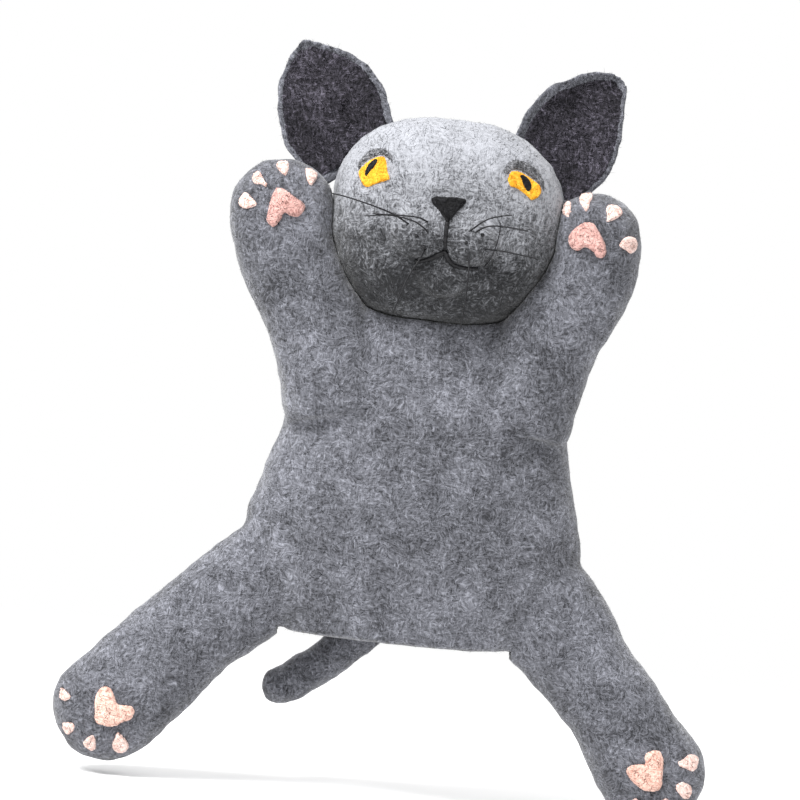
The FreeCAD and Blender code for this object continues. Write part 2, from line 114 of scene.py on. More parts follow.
def sums(tree, op, a, b):
    """A sum of two sockets or numbers."""
    node = tree.nodes.new("ShaderNodeMath")
    node.operation = op
    for socket, value in zip(node.inputs, (a, b)):
        if isinstance(value, (int, float)):
            socket.default_value = value
        else:
            tree.links.new(value, socket)
    return node.outputs[0]


MIDDLE = 0.53  # what the layers of wool noise add up to on average


def felt(name, stops, blotch=95, sheen=0.3, spread=0.10, tone_and_shade_by_height=None):
    """Felted wool: blotches of mixed fleece under short curled streaks of single fibres.

    stops run from darkest to lightest. The shift by height moves them darker lower down and lighter higher
    up, partly the wool's own tone and partly painted shade from the light above: from, to, and the shift at
    each.
    """
    mat, tree, shader = tree_of(name)
    place = tree.nodes.new("ShaderNodeTexCoord").outputs["Object"]
    swirl = tree.nodes.new("ShaderNodeTexNoise")
    put(swirl, Scale=70, Detail=3)
    tree.links.new(place, swirl.inputs["Vector"])
    pull = tree.nodes.new("ShaderNodeVectorMath")
    pull.operation = "MULTIPLY_ADD"
    pull.inputs[1].default_value = (0.012, 0.012, 0.012)
    tree.links.new(swirl.outputs["Color"], pull.inputs[0])
    tree.links.new(place, pull.inputs[2])
    warped = pull.outputs[0]
    blotches = grain(tree, warped, blotch, 4, 0.62)
    clouds = grain(tree, place, blotch * 0.3, 2, 0.5)
    fine = grain(tree, warped, 620, 3, 0.7)
    one = grain(tree, warped, 1, 2, 0.6, (300, 300, 1700), (0.5, 0.9, 0.2))
    two = grain(tree, warped, 1, 2, 0.6, (1700, 300, 300), (0.2, 0.3, 0.8))
    hairs = sums(tree, "MAXIMUM", one, two)
    mix = sums(tree, "MULTIPLY", blotches, 0.17)
    for layer, part in ((clouds, 0.13), (fine, 0.31), (hairs, 0.39)):
        mix = sums(tree, "ADD", mix, sums(tree, "MULTIPLY", layer, part))
    # Shift by height: darker lower down and lighter higher up, partly the wool's own tone and partly painted
    # shade from the light above.
    if tone_and_shade_by_height:
        axis = tree.nodes.new("ShaderNodeSeparateXYZ")
        tree.links.new(place, axis.inputs[0])
        reach = tree.nodes.new("ShaderNodeMapRange")
        reach.interpolation_type = "SMOOTHSTEP"
        put(reach, From_Min=tone_and_shade_by_height[0], From_Max=tone_and_shade_by_height[1], To_Min=tone_and_shade_by_height[2], To_Max=tone_and_shade_by_height[3])
        tree.links.new(axis.outputs["Z"], reach.inputs["Value"])
        mix = sums(tree, "ADD", mix, reach.outputs[0])
    ramp = tree.nodes.new("ShaderNodeValToRGB")
    ramp.color_ramp.interpolation = "B_SPLINE"
    while len(ramp.color_ramp.elements) < len(stops):
        ramp.color_ramp.elements.new(0.5)
    for i, (element, colour) in enumerate(zip(ramp.color_ramp.elements, stops)):
        element.position = MIDDLE + spread * (2 * i / (len(stops) - 1) - 1)
        element.color = (*colour, 1)
    tree.links.new(mix, ramp.inputs[0])
    tree.links.new(ramp.outputs[0], shader.inputs["Base Color"])
    raised(tree, shader, sums(tree, "ADD", fine, hairs), 0.7, 0.0007)
    put(shader, Roughness=0.95, Specular_IOR_Level=0.15, Sheen_Weight=sheen, Sheen_Roughness=0.45)
    return mat


def strand(name, dark, light, rough=0.8):
    """A single fibre or a waxed thread, a little uneven along its length."""
    mat, tree, shader = tree_of(name)
    place = tree.nodes.new("ShaderNodeTexCoord").outputs["Object"]
    uneven = grain(tree, place, 900, 2, 0.6)
    ramp = tree.nodes.new("ShaderNodeValToRGB")
    for element, at, colour in zip(ramp.color_ramp.elements, (0.35, 0.65), (dark, light)):
        element.position, element.color = at, (*colour, 1)
    tree.links.new(uneven, ramp.inputs[0])
    tree.links.new(ramp.outputs[0], shader.inputs["Base Color"])
    raised(tree, shader, grain(tree, place, 2600, 2, 0.5), 0.4, 0.0002)
    put(shader, Roughness=rough, Specular_IOR_Level=0.2)
    return mat


def shades(r, g, b, *steps):
    """One colour at several strengths."""
    return [(r * k, g * k, b * k) for k in steps]


GREY = felt("grey_wool", shades(0.130, 0.133, 0.152, 0.14, 0.66, 1.1, 2.2))
INSIDE = felt("grey_wool_inside", shades(0.13, 0.134, 0.15, 0.4, 0.8, 1.1, 1.6))
# The head's wool is shifted darker towards the chin and lighter on the crown, partly its own tone and partly
# painted shade from the light above; its darkest stops go low for the shaded chin.
PALE = felt(
    "pale_grey_wool", shades(0.330, 0.338, 0.366, 0.04, 0.16, 0.45, 0.92, 1.05, 1.22),
    sheen=0.2, spread=0.15, tone_and_shade_by_height=(0.163, 0.234, -0.12, 0.055),
)
CHARCOAL = felt("charcoal_wool", shades(0.037, 0.034, 0.043, 0.12, 0.6, 1.3, 4.8), blotch=75, sheen=0.2)
LID = felt("dark_grey_wool", shades(0.17, 0.172, 0.183, 0.15, 0.6, 1.2, 2.3), sheen=0.2)
ROSE = felt(
    "rose_wool",
    [(0.30, 0.14, 0.12), (0.53, 0.30, 0.27), (0.62, 0.37, 0.33), (0.76, 0.52, 0.47)],
    blotch=220,
)
BLUSH = felt(
    "blush_wool",
    [(0.42, 0.20, 0.15), (0.68, 0.42, 0.35), (0.78, 0.52, 0.43), (0.88, 0.68, 0.60)],
    blotch=220,
)
TOE = felt(
    "pale_pink_wool",
    [(0.46, 0.27, 0.23), (0.74, 0.51, 0.45), (0.83, 0.63, 0.57), (0.93, 0.80, 0.75)],
    blotch=240,
)
AMBER = felt(
    "amber_wool", [(0.50, 0.17, 0.012), (0.78, 0.34, 0.018), (0.86, 0.42, 0.028), (0.93, 0.60, 0.11)],
    blotch=240, sheen=0.1,
)
BLACK = felt("black_wool", shades(0.009, 0.009, 0.010, 0.4, 0.8, 1.3, 4.0), sheen=0.08)
THREAD = strand("black_thread", (0.006, 0.006, 0.007), (0.02, 0.02, 0.022), 0.5)
LIGHT_HAIR = strand("light_fibre", (0.19, 0.194, 0.215), (0.36, 0.365, 0.395))
DARK_HAIR = strand("dark_fibre", (0.04, 0.041, 0.047), (0.11, 0.112, 0.125))
PALE_HAIR = strand("pale_fibre", (0.30, 0.305, 0.325), (0.50, 0.505, 0.53))
PINK_HAIR = strand("pink_fibre", (0.62, 0.40, 0.36), (0.86, 0.68, 0.62))
BROWN_HAIR = strand("brown_fibre", (0.16, 0.09, 0.08), (0.30, 0.18, 0.16))
GOLD_HAIR = strand("gold_fibre", (0.85, 0.45, 0.03), (0.95, 0.66, 0.12))
PLUM_HAIR = strand("plum_fibre", (0.045, 0.04, 0.055), (0.16, 0.148, 0.18))


# ---- meshes


def shape(name, co, faces):
    mesh = bpy.data.meshes.new(name)
    mesh.from_pydata((np.asarray(co) * MM).tolist(), [], [tuple(int(i) for i in f) for f in faces])
    mesh.update()
    obj = bpy.data.objects.new(name, mesh)
    bpy.context.scene.collection.objects.link(obj)
    return obj


def points_of(mesh):
    """The mesh's points in millimetres."""
    co = np.empty(len(mesh.vertices) * 3)
    mesh.vertices.foreach_get("co", co)
    return co.reshape(-1, 3) * PER_M


def normals_of(mesh):
    n = np.empty(len(mesh.vertices) * 3)
    mesh.vertex_normals.foreach_get("vector", n)
    return n.reshape(-1, 3)


def faces_of(mesh):
    return [tuple(p.vertices) for p in mesh.polygons]


def drop(obj):
    mesh = obj.data
    bpy.data.objects.remove(obj)
    bpy.data.meshes.remove(mesh)


def ease(rows, step):
    """A smooth line through the rows, at an even number of places between each two."""
    rows = np.asarray(rows, float)
    ends = np.vstack([2 * rows[0] - rows[1], rows, 2 * rows[-1] - rows[-2]])
    made = []
    for a, b, c, d in zip(ends, ends[1:], ends[2:], ends[3:]):
        for t in np.linspace(0, 1, step, endpoint=False):
            bend, twist = 2 * a - 5 * b + 4 * c - d, 3 * b - a - 3 * c + d
            made.append(0.5 * (2 * b + (c - a) * t + bend * t * t + twist * t**3))
    return np.array(made + [rows[-1]])


def loop(centre, across, half, depth, power=2.3, count=64, deep=Y):
    """A closed ring, between an oval and a rounded rectangle by its power."""
    t = np.linspace(0, 2 * math.pi, count, endpoint=False)
    c, s = np.cos(t), np.sin(t)
    u = half * np.sign(c) * np.abs(c) ** (2 / power)
    v = depth * np.sign(s) * np.abs(s) ** (2 / power)
    return np.asarray(centre) + u[:, None] * across + v[:, None] * deep


def skin(rings, closed=True):
    """One surface over a row of rings, with a lid on each end."""
    n, m = len(rings), len(rings[0])
    faces = []
    for i in range(n - 1):
        for k in range(m):
            q = (k + 1) % m
            faces.append((i * m + k, i * m + q, (i + 1) * m + q, (i + 1) * m + k))
    if closed:
        faces += [tuple(range(m))[::-1], tuple((n - 1) * m + k for k in range(m))]
    return np.vstack(rings), faces


def limb(stations, y, depth, tip):
    """A rounded limb in the XZ plane: stations of x, z and half width, and a round end as long as tip."""
    rows = ease(stations, 6)
    rings = []
    for i, (x, z, half) in enumerate(rows):
        a, b = rows[max(i - 1, 0)], rows[min(i + 1, len(rows) - 1)]
        way = np.array([b[0] - a[0], 0, b[1] - a[1]])
        way /= np.linalg.norm(way)
        across = np.array([way[2], 0, -way[0]])
        thick = depth[0] + (depth[1] - depth[0]) * i / (len(rows) - 1)
        rings.append(loop((x, y, z), across, half, thick))
    for t in np.linspace(0.15, 1.5, 9):
        c, s = math.cos(t), math.sin(t)
        rings.append(loop(np.array([x, y, z]) + way * tip * s, across, half * c, thick * c, 2.15))
    return skin(rings)


def block(centre, half, power=2.0, n=44):
    """An egg or a rounded block."""
    rings = []
    for e in np.linspace(-1.5, 1.5, n):
        c, s = math.cos(e), math.sin(e)
        k, h = abs(c) ** (2 / power), math.copysign(abs(s) ** (2 / power), s)
        at = np.asarray(centre) + np.array([0, 0, half[2] * h])
        rings.append(loop(at, X, half[0] * k, half[1] * k, power, 72))
    return skin(rings)


def felted(name, parts, voxel, rounds):
    """The parts grown into one body of even faces, and smoothed as felting does."""
    co, faces, base = [], [], 0
    for points, polys in parts:
        co.append(points)
        faces += [tuple(i + base for i in f) for f in polys]
        base += len(points)
    obj = shape(name, np.vstack(co), faces)
    grow = obj.modifiers.new("grow", "REMESH")
    grow.mode, grow.voxel_size = "VOXEL", voxel * MM
    soft = obj.modifiers.new("soft", "SMOOTH")
    soft.factor, soft.iterations = 0.5, rounds
    made = bpy.data.meshes.new_from_object(obj.evaluated_get(bpy.context.evaluated_depsgraph_get()))
    drop(obj)
    return made


def uneven(co, nrm, *layers):
    """Lumps of felt: each layer is a height and a length."""
    rise = np.zeros(len(co))
    for height, length in layers:
        rise += height * np.array([noise.noise(Vector(p) / length) for p in co.tolist()])
    return co + nrm * rise[:, None]


def pts(*numbers):
    """Points in X and Z, from one row of numbers."""
    return np.reshape(numbers, (-1, 2)).astype(float)


def to_line(p, line):
    """The distance in the XZ plane from each point to a line of points."""
    best = np.full(len(p), 1e9)
    q = p[:, [0, 2]]
    for a, b in zip(np.asarray(line[:-1], float), np.asarray(line[1:], float)):
        d = b - a
        t = np.clip(((q - a) @ d) / (d @ d), 0, 1)
        best = np.minimum(best, np.linalg.norm(q - a - t[:, None] * d, axis=1))
    return best


def fuzz(co, nrm, tris, count, length, lift, width, curl=0.5, share=0.5, flow=None):
    """Fibres as thin ribbons rooted on the triangles, that share of them in slot 1 and the rest in slot 2.

    lift is the least and greatest angle from the surface, and flow gives the way the fibres lie.
    """
    count = int(count)
    a, b, c = co[tris[:, 0]], co[tris[:, 1]], co[tris[:, 2]]
    area = np.linalg.norm(np.cross(b - a, c - a), axis=1)
    pick = rng.choice(len(tris), count, p=area / area.sum())
    u, v = rng.random(count), rng.random(count)
    over = u + v > 1
    u[over], v[over] = 1 - u[over], 1 - v[over]
    w = 1 - u - v
    t = tris[pick]
    root = w[:, None] * a[pick] + u[:, None] * b[pick] + v[:, None] * c[pick]
    n = w[:, None] * nrm[t[:, 0]] + u[:, None] * nrm[t[:, 1]] + v[:, None] * nrm[t[:, 2]]
    n /= np.linalg.norm(n, axis=1)[:, None] + 1e-9
    way = rng.normal(size=(count, 3))
    if flow is not None:
        way = way * 0.7 + flow(root)
    way -= n * np.sum(way * n, axis=1)[:, None]
    way /= np.linalg.norm(way, axis=1)[:, None] + 1e-9
    side = np.cross(n, way)
    angle = rng.uniform(math.radians(lift[0]), math.radians(lift[1]), count)[:, None]
    run = rng.uniform(*length, count)[:, None]
    bend = rng.normal(size=(count, 1)) * curl
    rows, norms = [], []
    for s, thick in ((0.0, 1.0), (0.5, 0.95), (1.0, 0.35)):
        rise = way * np.cos(angle) + n * np.sin(angle) * (1 - 0.55 * s)
        at = root + n * 0.02 + run * s * rise + side * bend * run * s * s * 0.6
        facing = side * np.cos(angle * 0.7) + n * np.sin(angle * 0.7) * 0.5
        rows += [at - facing * width * thick / 2, at + facing * width * thick / 2]
        norms += [n, n]
    points = np.stack(rows, axis=1).reshape(-1, 3)
    k = np.arange(count)[:, None] * 6
    quads = np.vstack([k + [0, 1, 3, 2], k + [2, 3, 5, 4]])
    kind = np.where(rng.random(count) < share, 1, 2)
    return points, np.stack(norms, axis=1).reshape(-1, 3), quads, np.concatenate([kind, kind])


def piece(name, co, faces, mats, index=None, nrm=None, hair=()):
    """The finished mesh: the felt, then its fibres, with one set of normals for both.

    hair is a row of fuzz settings. Fibres grow only on the faces of slot 0.
    """
    faces = [tuple(int(i) for i in f) for f in faces]
    index = np.zeros(len(faces), int) if index is None else np.asarray(index)
    if nrm is None:
        probe = shape("probe", co, faces)
        nrm = normals_of(probe.data)
        drop(probe)
    if hair:
        tris = []
        for f, i in zip(faces, index):
            if i == 0:
                tris += [(f[0], f[k], f[k + 1]) for k in range(1, len(f) - 1)]
        tris = np.array(tris)
        all_co, all_n, all_f, all_i = [co], [nrm], list(faces), [index]
        base = len(co)
        for settings in hair:
            p, n, q, k = fuzz(co, nrm, tris, **settings)
            all_co.append(p)
            all_n.append(n)
            all_f += [tuple(r) for r in (q + base).tolist()]
            all_i.append(k)
            base += len(p)
        co, nrm, faces, index = np.vstack(all_co), np.vstack(all_n), all_f, np.concatenate(all_i)
    obj = shape(name, co, faces)
    for mat in mats:
        obj.data.materials.append(mat)
    obj.data.polygons.foreach_set("material_index", index.astype(np.int32))
    obj.data.polygons.foreach_set("use_smooth", np.ones(len(faces), bool))
    obj.data.normals_split_custom_set_from_vertices(nrm.tolist())
    obj.data.update()
    return obj


def stands_for(obj, slot, *nodes):
    """Hides the CAD nodes that the piece takes the place of. Its slot is not used."""
    known = [n for n in nodes if n in NODES]
    if known:
        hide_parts(*known)
    return obj


def body_hair(area, halo=0.055, lay=0.14, flow=None):
    """Fibres for felt of that many square millimetres: most lie down, and some stand up as a halo."""
    return (
        dict(
            count=area * lay, length=(1.6, 4.0), lift=(2, 13), share=0.66, width=0.085, curl=0.25, flow=flow,
        ),
        dict(count=area * halo, length=(0.9, 2.3), lift=(25, 70), share=0.8, width=0.09),
    )


def area_of(co, faces):
    """The area of the faces, in square millimetres."""
    total = 0.0
    for f in faces:
        for k in range(1, len(f) - 1):
            total += np.linalg.norm(np.cross(co[f[k]] - co[f[0]], co[f[k + 1]] - co[f[0]])) / 2
    return total


# ---- the glove: body, arms and legs in one sheet of felt

HEAD_AT, HEAD_HALF, HEAD_POWER = np.array([0.0, 0.0, 201.0]), np.array([52.4, 47.0, 51.4]), 2.6
HEAD_GAP = 1.018  # how far the glove keeps clear of the head, as a share of the head's size

# The root of each limb in X and Z, and its lean from upright, in degrees.
ARM = {"left": ((-50.5, 120), -19.9), "right": ((54.0, 120), 15.0)}
LEG = {"left": ((-76.0, 24), 220.8), "right": ((72.0, 17), 141.4)}


# Places along each limb, in millimetres; the glove is cut at the shoulder and hip ones.
SHOULDER, PAW_BEND, HIP, KNEE = (-20, 28), (28, 58), (-12, 20), (20, 50)
ARM_Y = -12


def along(joint, distance):
    """The point in X and Z at that distance from a limb's root."""
    (x, z), lean = joint
    a = math.radians(lean)
    return np.array([x + distance * math.sin(a), z + distance * math.cos(a)])


# Height, left edge, right edge and half depth of the body, from the hem to the neck.
TORSO = [
    (-7, -54, 48, 26), (0, -57, 51, 27), (12, -66, 63, 29), (25, -74, 73, 30), (40, -79, 80, 30.5),
    (54, -79.2, 81, 31), (64, -76.2, 78.6, 31.5), (74, -73.6, 75.5, 32), (84, -70.3, 73, 32),
    (94, -67, 70.5, 32), (104, -65.5, 69, 31.5), (112, -62, 66, 31), (124, -56, 59, 29),
    (136, -45, 47, 26.5), (143, -31, 32, 23), (147, -17, 17, 16),
]
rings = []
for z, left, right, deep in ease(TORSO, 4):
    rings.append(loop(((left + right) / 2, 0, z), X, (right - left) / 2, deep, 2.35, 96))
glove_parts = [
    skin(rings),
    limb(
        [
            (-43, 104, 22.5), (-54.3, 144.2, 23.5), (-69.3, 171.3, 23.6), (-74.8, 185.5, 24.6),
            (-77.2, 198, 25.2),
        ],
        ARM_Y, (20, 20.5), 24.2,
    ),
    limb(
        [(46, 104, 22.5), (55.5, 150, 23.4), (65.3, 168, 22.3), (71.8, 184.5, 22), (71.8, 198.5, 22.3)],
        ARM_Y, (20, 20), 23.0,
    ),
    block((0, 0, 143), (52, 25.5, 23)),
    limb(
        [
            (-60, 32, 23), (-79.4, 12.6, 25.6), (-97.1, -3.5, 24.4), (-114.2, -22.4, 25.2),
            (-130.4, -41, 26), (-137.2, -47, 26.2),
        ],
        0, (18.5, 19.5), 25.2,
    ),
    limb(
        [
            (58, 31, 26), (74.6, 12.6, 26.6), (89.9, -5.7, 23), (103.6, -21.1, 22.7), (116, -37.5, 24),
            (127, -52, 25.5),
        ],
        0, (18.5, 19.5), 24.0,
    ),
]
glove = felted("glove", glove_parts, 1.9, 12)
co, nrm = points_of(glove), normals_of(glove)
co = co + nrm * 0.35
co = uneven(co, nrm, (0.9, 15), (0.55, 6.5))


def soft_step(t):
    """Nought to one, with a soft start and end."""
    t = np.clip(t, 0, 1)
    return t * t * (3 - 2 * t)


def cheeks(p):
    """How much wider the head is than its rounded block, to each side, by height."""
    w = soft_step((p[:, 2] - 170) / 24) * (1 - 0.55 * soft_step((p[:, 2] - 218) / 26))
    return np.where(p[:, 0] > 0, 4.2, 2.0) * w


def head_level(p):
    """One on the head's surface, less inside it and more outside."""
    half = np.column_stack(
        [HEAD_HALF[0] + cheeks(p), np.full(len(p), HEAD_HALF[1]), np.full(len(p), HEAD_HALF[2])]
    )
    return (np.abs((p - HEAD_AT) / half) ** HEAD_POWER).sum(axis=1) ** (1 / HEAD_POWER)


level = head_level(co)
co = HEAD_AT + (co - HEAD_AT) * np.maximum(HEAD_GAP / level, 1.0)[:, None]
glove.vertices.foreach_set("co", (co * MM).ravel())
glove.update()

# The hem and the hole for the neck are cut open, then the felt is given its thickness with a rolled edge.
bm = bmesh.new()
bm.from_mesh(glove)


def cut_by(bm, point, normal, keep):
    """Cuts the faces that keep() picks along a plane, in millimetres."""
    faces = [f for f in bm.faces if keep(f.calc_center_median() * PER_M)]
    geom = list({e for f in faces for e in f.edges}) + list({v for f in faces for v in f.verts}) + faces
    bmesh.ops.bisect_plane(bm, geom=geom, plane_co=Vector(point) * MM, plane_no=Vector(normal), dist=1e-7)


def in_hem(c):
    return c.z < 0 and HEM_LEFT * MM < c.x < HEM_RIGHT * MM


def in_neck(c):
    return c.z > 0.138 and math.hypot(c.x, c.y) < NECK_HOLE * MM


HEM_LEFT, HEM_RIGHT, NECK_HOLE = -59, 52.5, 17
cut_by(bm, (0, 0, 0), (0, 0, 1), lambda c: abs(c.z) < 4 and -64 < c.x < 58)
for edge in (HEM_LEFT, HEM_RIGHT):
    cut_by(bm, (edge, 0, 0), (1, 0, 0), lambda c: c.z < 0 and abs(c.x - edge) < 5)
gone = [f for f in bm.faces if in_hem(f.calc_center_median()) or in_neck(f.calc_center_median())]
bmesh.ops.delete(bm, geom=gone, context="FACES")
bm.normal_update()
bm.verts.ensure_lookup_table()
outer = np.array([v.co[:] for v in bm.verts]) * PER_M
outer_n = np.array([v.normal[:] for v in bm.verts])
outer_f = [tuple(v.index for v in f.verts) for f in bm.faces]
rim = [
    (e.link_loops[0].vert.index, e.link_loops[0].link_loop_next.vert.index)
    for e in bm.edges if e.is_boundary
]
bm.free()
WALL = 3.8
inner = outer - outer_n * WALL
rim_points = sorted({i for pair in rim for i in pair})
slot_of = {v: len(outer) * 2 + k for k, v in enumerate(rim_points)}
mid = (outer[rim_points] + inner[rim_points]) / 2
mid = mid + np.where(mid[:, 2:3] < 60, np.array([[0, 0, -1.5]]), np.array([[0, 0, 0.6]]))
for i in rim_points:
    pull = outer_n[i] * 0.7
    outer[i] -= pull
    inner[i] += pull
n0 = len(outer)
sheet_co = np.vstack([outer, inner, mid])
sheet_f = list(outer_f) + [tuple(i + n0 for i in f[::-1]) for f in outer_f]
sheet_i = [0] * len(outer_f) + [3] * len(outer_f)
for a, b in rim:
    sheet_f += [(b, a, slot_of[a], slot_of[b]), (slot_of[b], slot_of[a], a + n0, b + n0)]
    sheet_i += [0, 0]
sheet = shape("sheet", sheet_co, sheet_f)
sheet.data.polygons.foreach_set("material_index", np.array(sheet_i, np.int32))
sheet_n = normals_of(sheet.data)
kept = sheet.data.attributes.new("kept", "FLOAT_VECTOR", "POINT")
kept.data.foreach_set("vector", sheet_n.astype(np.float32).ravel())

# Each shoulder is cut along two slopes, and split into sleeve and collar by whichever slope is the less.
NECK_SLOPE = ((18.0, 138), (34.0, 150))
SLOPES = {
    side: ([along(ARM[side], d) for d in SHOULDER], [np.array([sign * x, z]) for x, z in NECK_SLOPE])
    for side, sign in SIDES
}
bm = bmesh.new()
bm.from_mesh(sheet.data)


def plane_cut(bm, point, normal, keep):
    cut_by(bm, (point[0], 0, point[1]), (normal[0], 0, normal[1]), keep)


def slope(p, pair):
    """How far a point is along a slope, from nought to one."""
    d = pair[1] - pair[0]
    return ((np.array([p[0], p[2]]) - pair[0]) @ d) / (d @ d)


for side, sign in SIDES:
    one, two = SLOPES[side]
    here = lambda c, s=sign: c.x * s > 4 and c.z > 90
    for pair in (one, two):
        plane_cut(bm, pair[0], (pair[1] - pair[0]) / np.linalg.norm(pair[1] - pair[0]), here)
    g1 = (one[1] - one[0]) / ((one[1] - one[0]) @ (one[1] - one[0]))
    g2 = (two[1] - two[0]) / ((two[1] - two[0]) @ (two[1] - two[0]))
    g = g1 - g2
    c = g1 @ one[0] - g2 @ two[0]
    plane_cut(bm, g * c / (g @ g), g / np.linalg.norm(g), here)
    plane_cut(bm, along(ARM[side], SHOULDER[1]), along(ARM[side], 1) - along(ARM[side], 0), here)
    below = lambda c, s=sign: c.x * s > 4 and c.z < 70
    way = along(LEG[side], 1) - along(LEG[side], 0)
    for distance in HIP:
        plane_cut(bm, along(LEG[side], distance), way, below)

bm.verts.ensure_lookup_table()
layer = bm.verts.layers.float_vector["kept"]
glove_co = np.array([v.co[:] for v in bm.verts]) * PER_M
glove_n = np.array([v[layer][:] for v in bm.verts])
glove_n /= np.linalg.norm(glove_n, axis=1)[:, None] + 1e-9
glove_f = [tuple(v.index for v in f.verts) for f in bm.faces]
glove_i = [f.material_index for f in bm.faces]
bm.free()
drop(sheet)


def part_of(p):
    """The part of the glove that a point belongs to."""
    side, sign = ("left", -1) if p[0] < 0 else ("right", 1)
    one, two = (slope(p, pair) for pair in SLOPES[side])
    if one > 0 and two > 0 and p[2] > 90:
        way = along(ARM[side], 1) - along(ARM[side], 0)
        if (np.array([p[0], p[2]]) - along(ARM[side], SHOULDER[1])) @ way > 0:
            return f"forepaw_{side}"
        return f"shoulder_{side}" if one < two else f"collar_{side}"
    if p[2] < 70:
        way = along(LEG[side], 1) - along(LEG[side], 0)
        reach = (np.array([p[0], p[2]]) - along(LEG[side], 0)) @ way
        if reach > HIP[1]:
            return f"hindpaw_{side}"
        if reach > HIP[0]:
            return f"hip_{side}"
    return "body"


def lie_of(name):
    """Fibres lie along the limbs, and mostly across the body."""
    side = name.rsplit("_", 1)[-1]
    if name == "body":
        return lambda p: np.array([0.9, 0, 0.15])
    joint = LEG[side] if name.startswith("hi") else ARM[side]
    way = along(joint, 1) - along(joint, 0)
    return lambda p: np.array([way[0], 0, way[1]]) * 1.1


groups = {}
for f, i in zip(glove_f, glove_i):
    groups.setdefault(part_of(glove_co[list(f)].mean(axis=0)), []).append((f, i))

BODY = [GREY, LIGHT_HAIR, DARK_HAIR, INSIDE]
glove_pieces = {}
surfaces = {}
for name, rows in sorted(groups.items()):
    used = sorted({v for f, _ in rows for v in f})
    new = {v: k for k, v in enumerate(used)}
    faces = [tuple(new[v] for v in f) for f, _ in rows]
    index = [i for _, i in rows]
    part, norm = glove_co[used], glove_n[used]
    shown = [f for f, i in zip(faces, index) if i == 0]
    surfaces[name] = (part, shown)
    hair = body_hair(area_of(part, shown), flow=lie_of(name))
    glove_pieces[name] = piece(f"glove_{name}", part, faces, BODY, index, norm, hair)


def m(xz, y):
    """A point in metres."""
    return (xz[0] * MM, y * MM, xz[1] * MM)


stands_for(glove_pieces["body"], "grey_felt", "torso_glove")
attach(glove_pieces["body"], "torso")
for side, _ in SIDES:
    one, two = SLOPES[side]
    sleeve, collar = glove_pieces[f"shoulder_{side}"], glove_pieces[f"collar_{side}"]
    stands_for(sleeve, "grey_felt", f"arm_sleeve_{side}")
    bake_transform(sleeve)
    stands_for(collar, "grey_felt")
    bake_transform(collar)
    paw = stands_for(
        glove_pieces[f"forepaw_{side}"], "grey_felt", f"front_paw_{side}", f"front_paw_{side}_wadding"
    )
    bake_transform(paw)
    hip = stands_for(glove_pieces[f"hip_{side}"], "grey_felt", f"thigh_{side}")
    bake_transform(hip)
    foot = stands_for(
        glove_pieces[f"hindpaw_{side}"], "grey_felt", f"hind_leg_{side}", f"hind_leg_{side}_wadding"
    )
    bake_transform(foot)

# ---- neck and finger pocket


def pipe(name, profile):
    """A round wall about the Z axis from rows of radius and height, outside up and inside down."""
    rings = [loop((0, 0, z), X, r, r, 2.0, 64) for r, z in profile]
    points, faces = skin(rings, closed=False)
    probe = shape("probe", points, faces)
    n = normals_of(probe.data)
    drop(probe)
    points = uneven(points, n, (0.5, 7), (0.3, 3))
    return piece(
        name, points, faces, [GREY, LIGHT_HAIR, DARK_HAIR],
        hair=body_hair(area_of(points, faces), 0.03, 0.05),
    )


neck_wall = pipe("neck_collar", [
    (17.6, 128), (18.8, 130), (19.2, 135), (19.0, 141), (18.8, 147), (18.6, 153), (18.0, 158), (16.8, 160),
    (15.6, 158), (15.2, 153), (15.2, 147), (15.2, 141), (15.4, 135), (16.0, 130), (17.6, 128),
])
stands_for(neck_wall, "grey_felt", "neck_sleeve")
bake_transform(neck_wall)
turns = (0.3, 0.7, 1.1, 1.45)
dome = [
    (r * math.cos(t), 192 + r * math.sin(t)) for r, ts in ((13.0, turns), (11.0, turns[::-1])) for t in ts
]
pocket = pipe("finger_stall", [
    (12.0, 160.5), (13.0, 162), (13.0, 172), (13.0, 182), (13.0, 192), *dome,
    (11.0, 192), (11.0, 182), (11.0, 172), (11.2, 162), (12.0, 160.5),
])
stands_for(pocket, "grey_felt", "finger_pocket", "finger_pocket_tip")
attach(pocket, "head")

# ---- head

MOUTH = [
    pts(1, 197.9, 1, 191.4, 1.3, 184.2),
    pts(1.3, 184.2, -2.2, 182.1, -5.7, 180.3, -9.3, 179, -12.4, 179),
    pts(1.3, 184.2, 3.5, 181, 6.4, 178.6, 12.6, 178, 17.6, 178.3),
]
# Each place in X and Z where the face swells or sinks, by how much, and how wide: eyes, brows and cheeks.
SWELLS = [
    ((-35.5, 219), -1.1, 9), ((35, 219), -1.1, 9), ((-34, 232), 0.9, 8),
    ((36, 233), 0.9, 8), ((-34, 188), 1.0, 12), ((35, 187), 1.0, 12),
]
CREASE = pts(-18.4, 207, -10.7, 210.3, -0.6, 212.2, 9.2, 211.6, 18.8, 208.9)
head = felted(
    "head",
    [
        block(HEAD_AT, HEAD_HALF, HEAD_POWER, 60),
        block((0.5, -35.5, 192.5), (23.5, 16.5, 18.5)),
        block((-11.4, -40.5, 190.0), (12.6, 13.2, 12.0)),
        block((12.6, -40.5, 189.6), (12.6, 13.2, 12.0)),
        block((1.5, -37.5, 172.5), (12.5, 10.5, 9.0)),
    ],
    1.5,
    9,
)
hc, hn, hf = points_of(head), normals_of(head), faces_of(head)
hc = hc + hn * 0.25
hc[:, 0] += cheeks(hc) * np.sign(hc[:, 0]) * np.minimum(np.abs(hc[:, 0]) / 50, 1.05)
front = np.clip((-hc[:, 1] - 20) / 12, 0, 1)
for line in MOUTH:
    hc = hc - hn * (1.5 * np.exp(-((to_line(hc, line) / 1.7) ** 2)) * front)[:, None]
hc = hc - hn * (0.9 * np.exp(-((to_line(hc, CREASE) / 1.6) ** 2)) * front)[:, None]
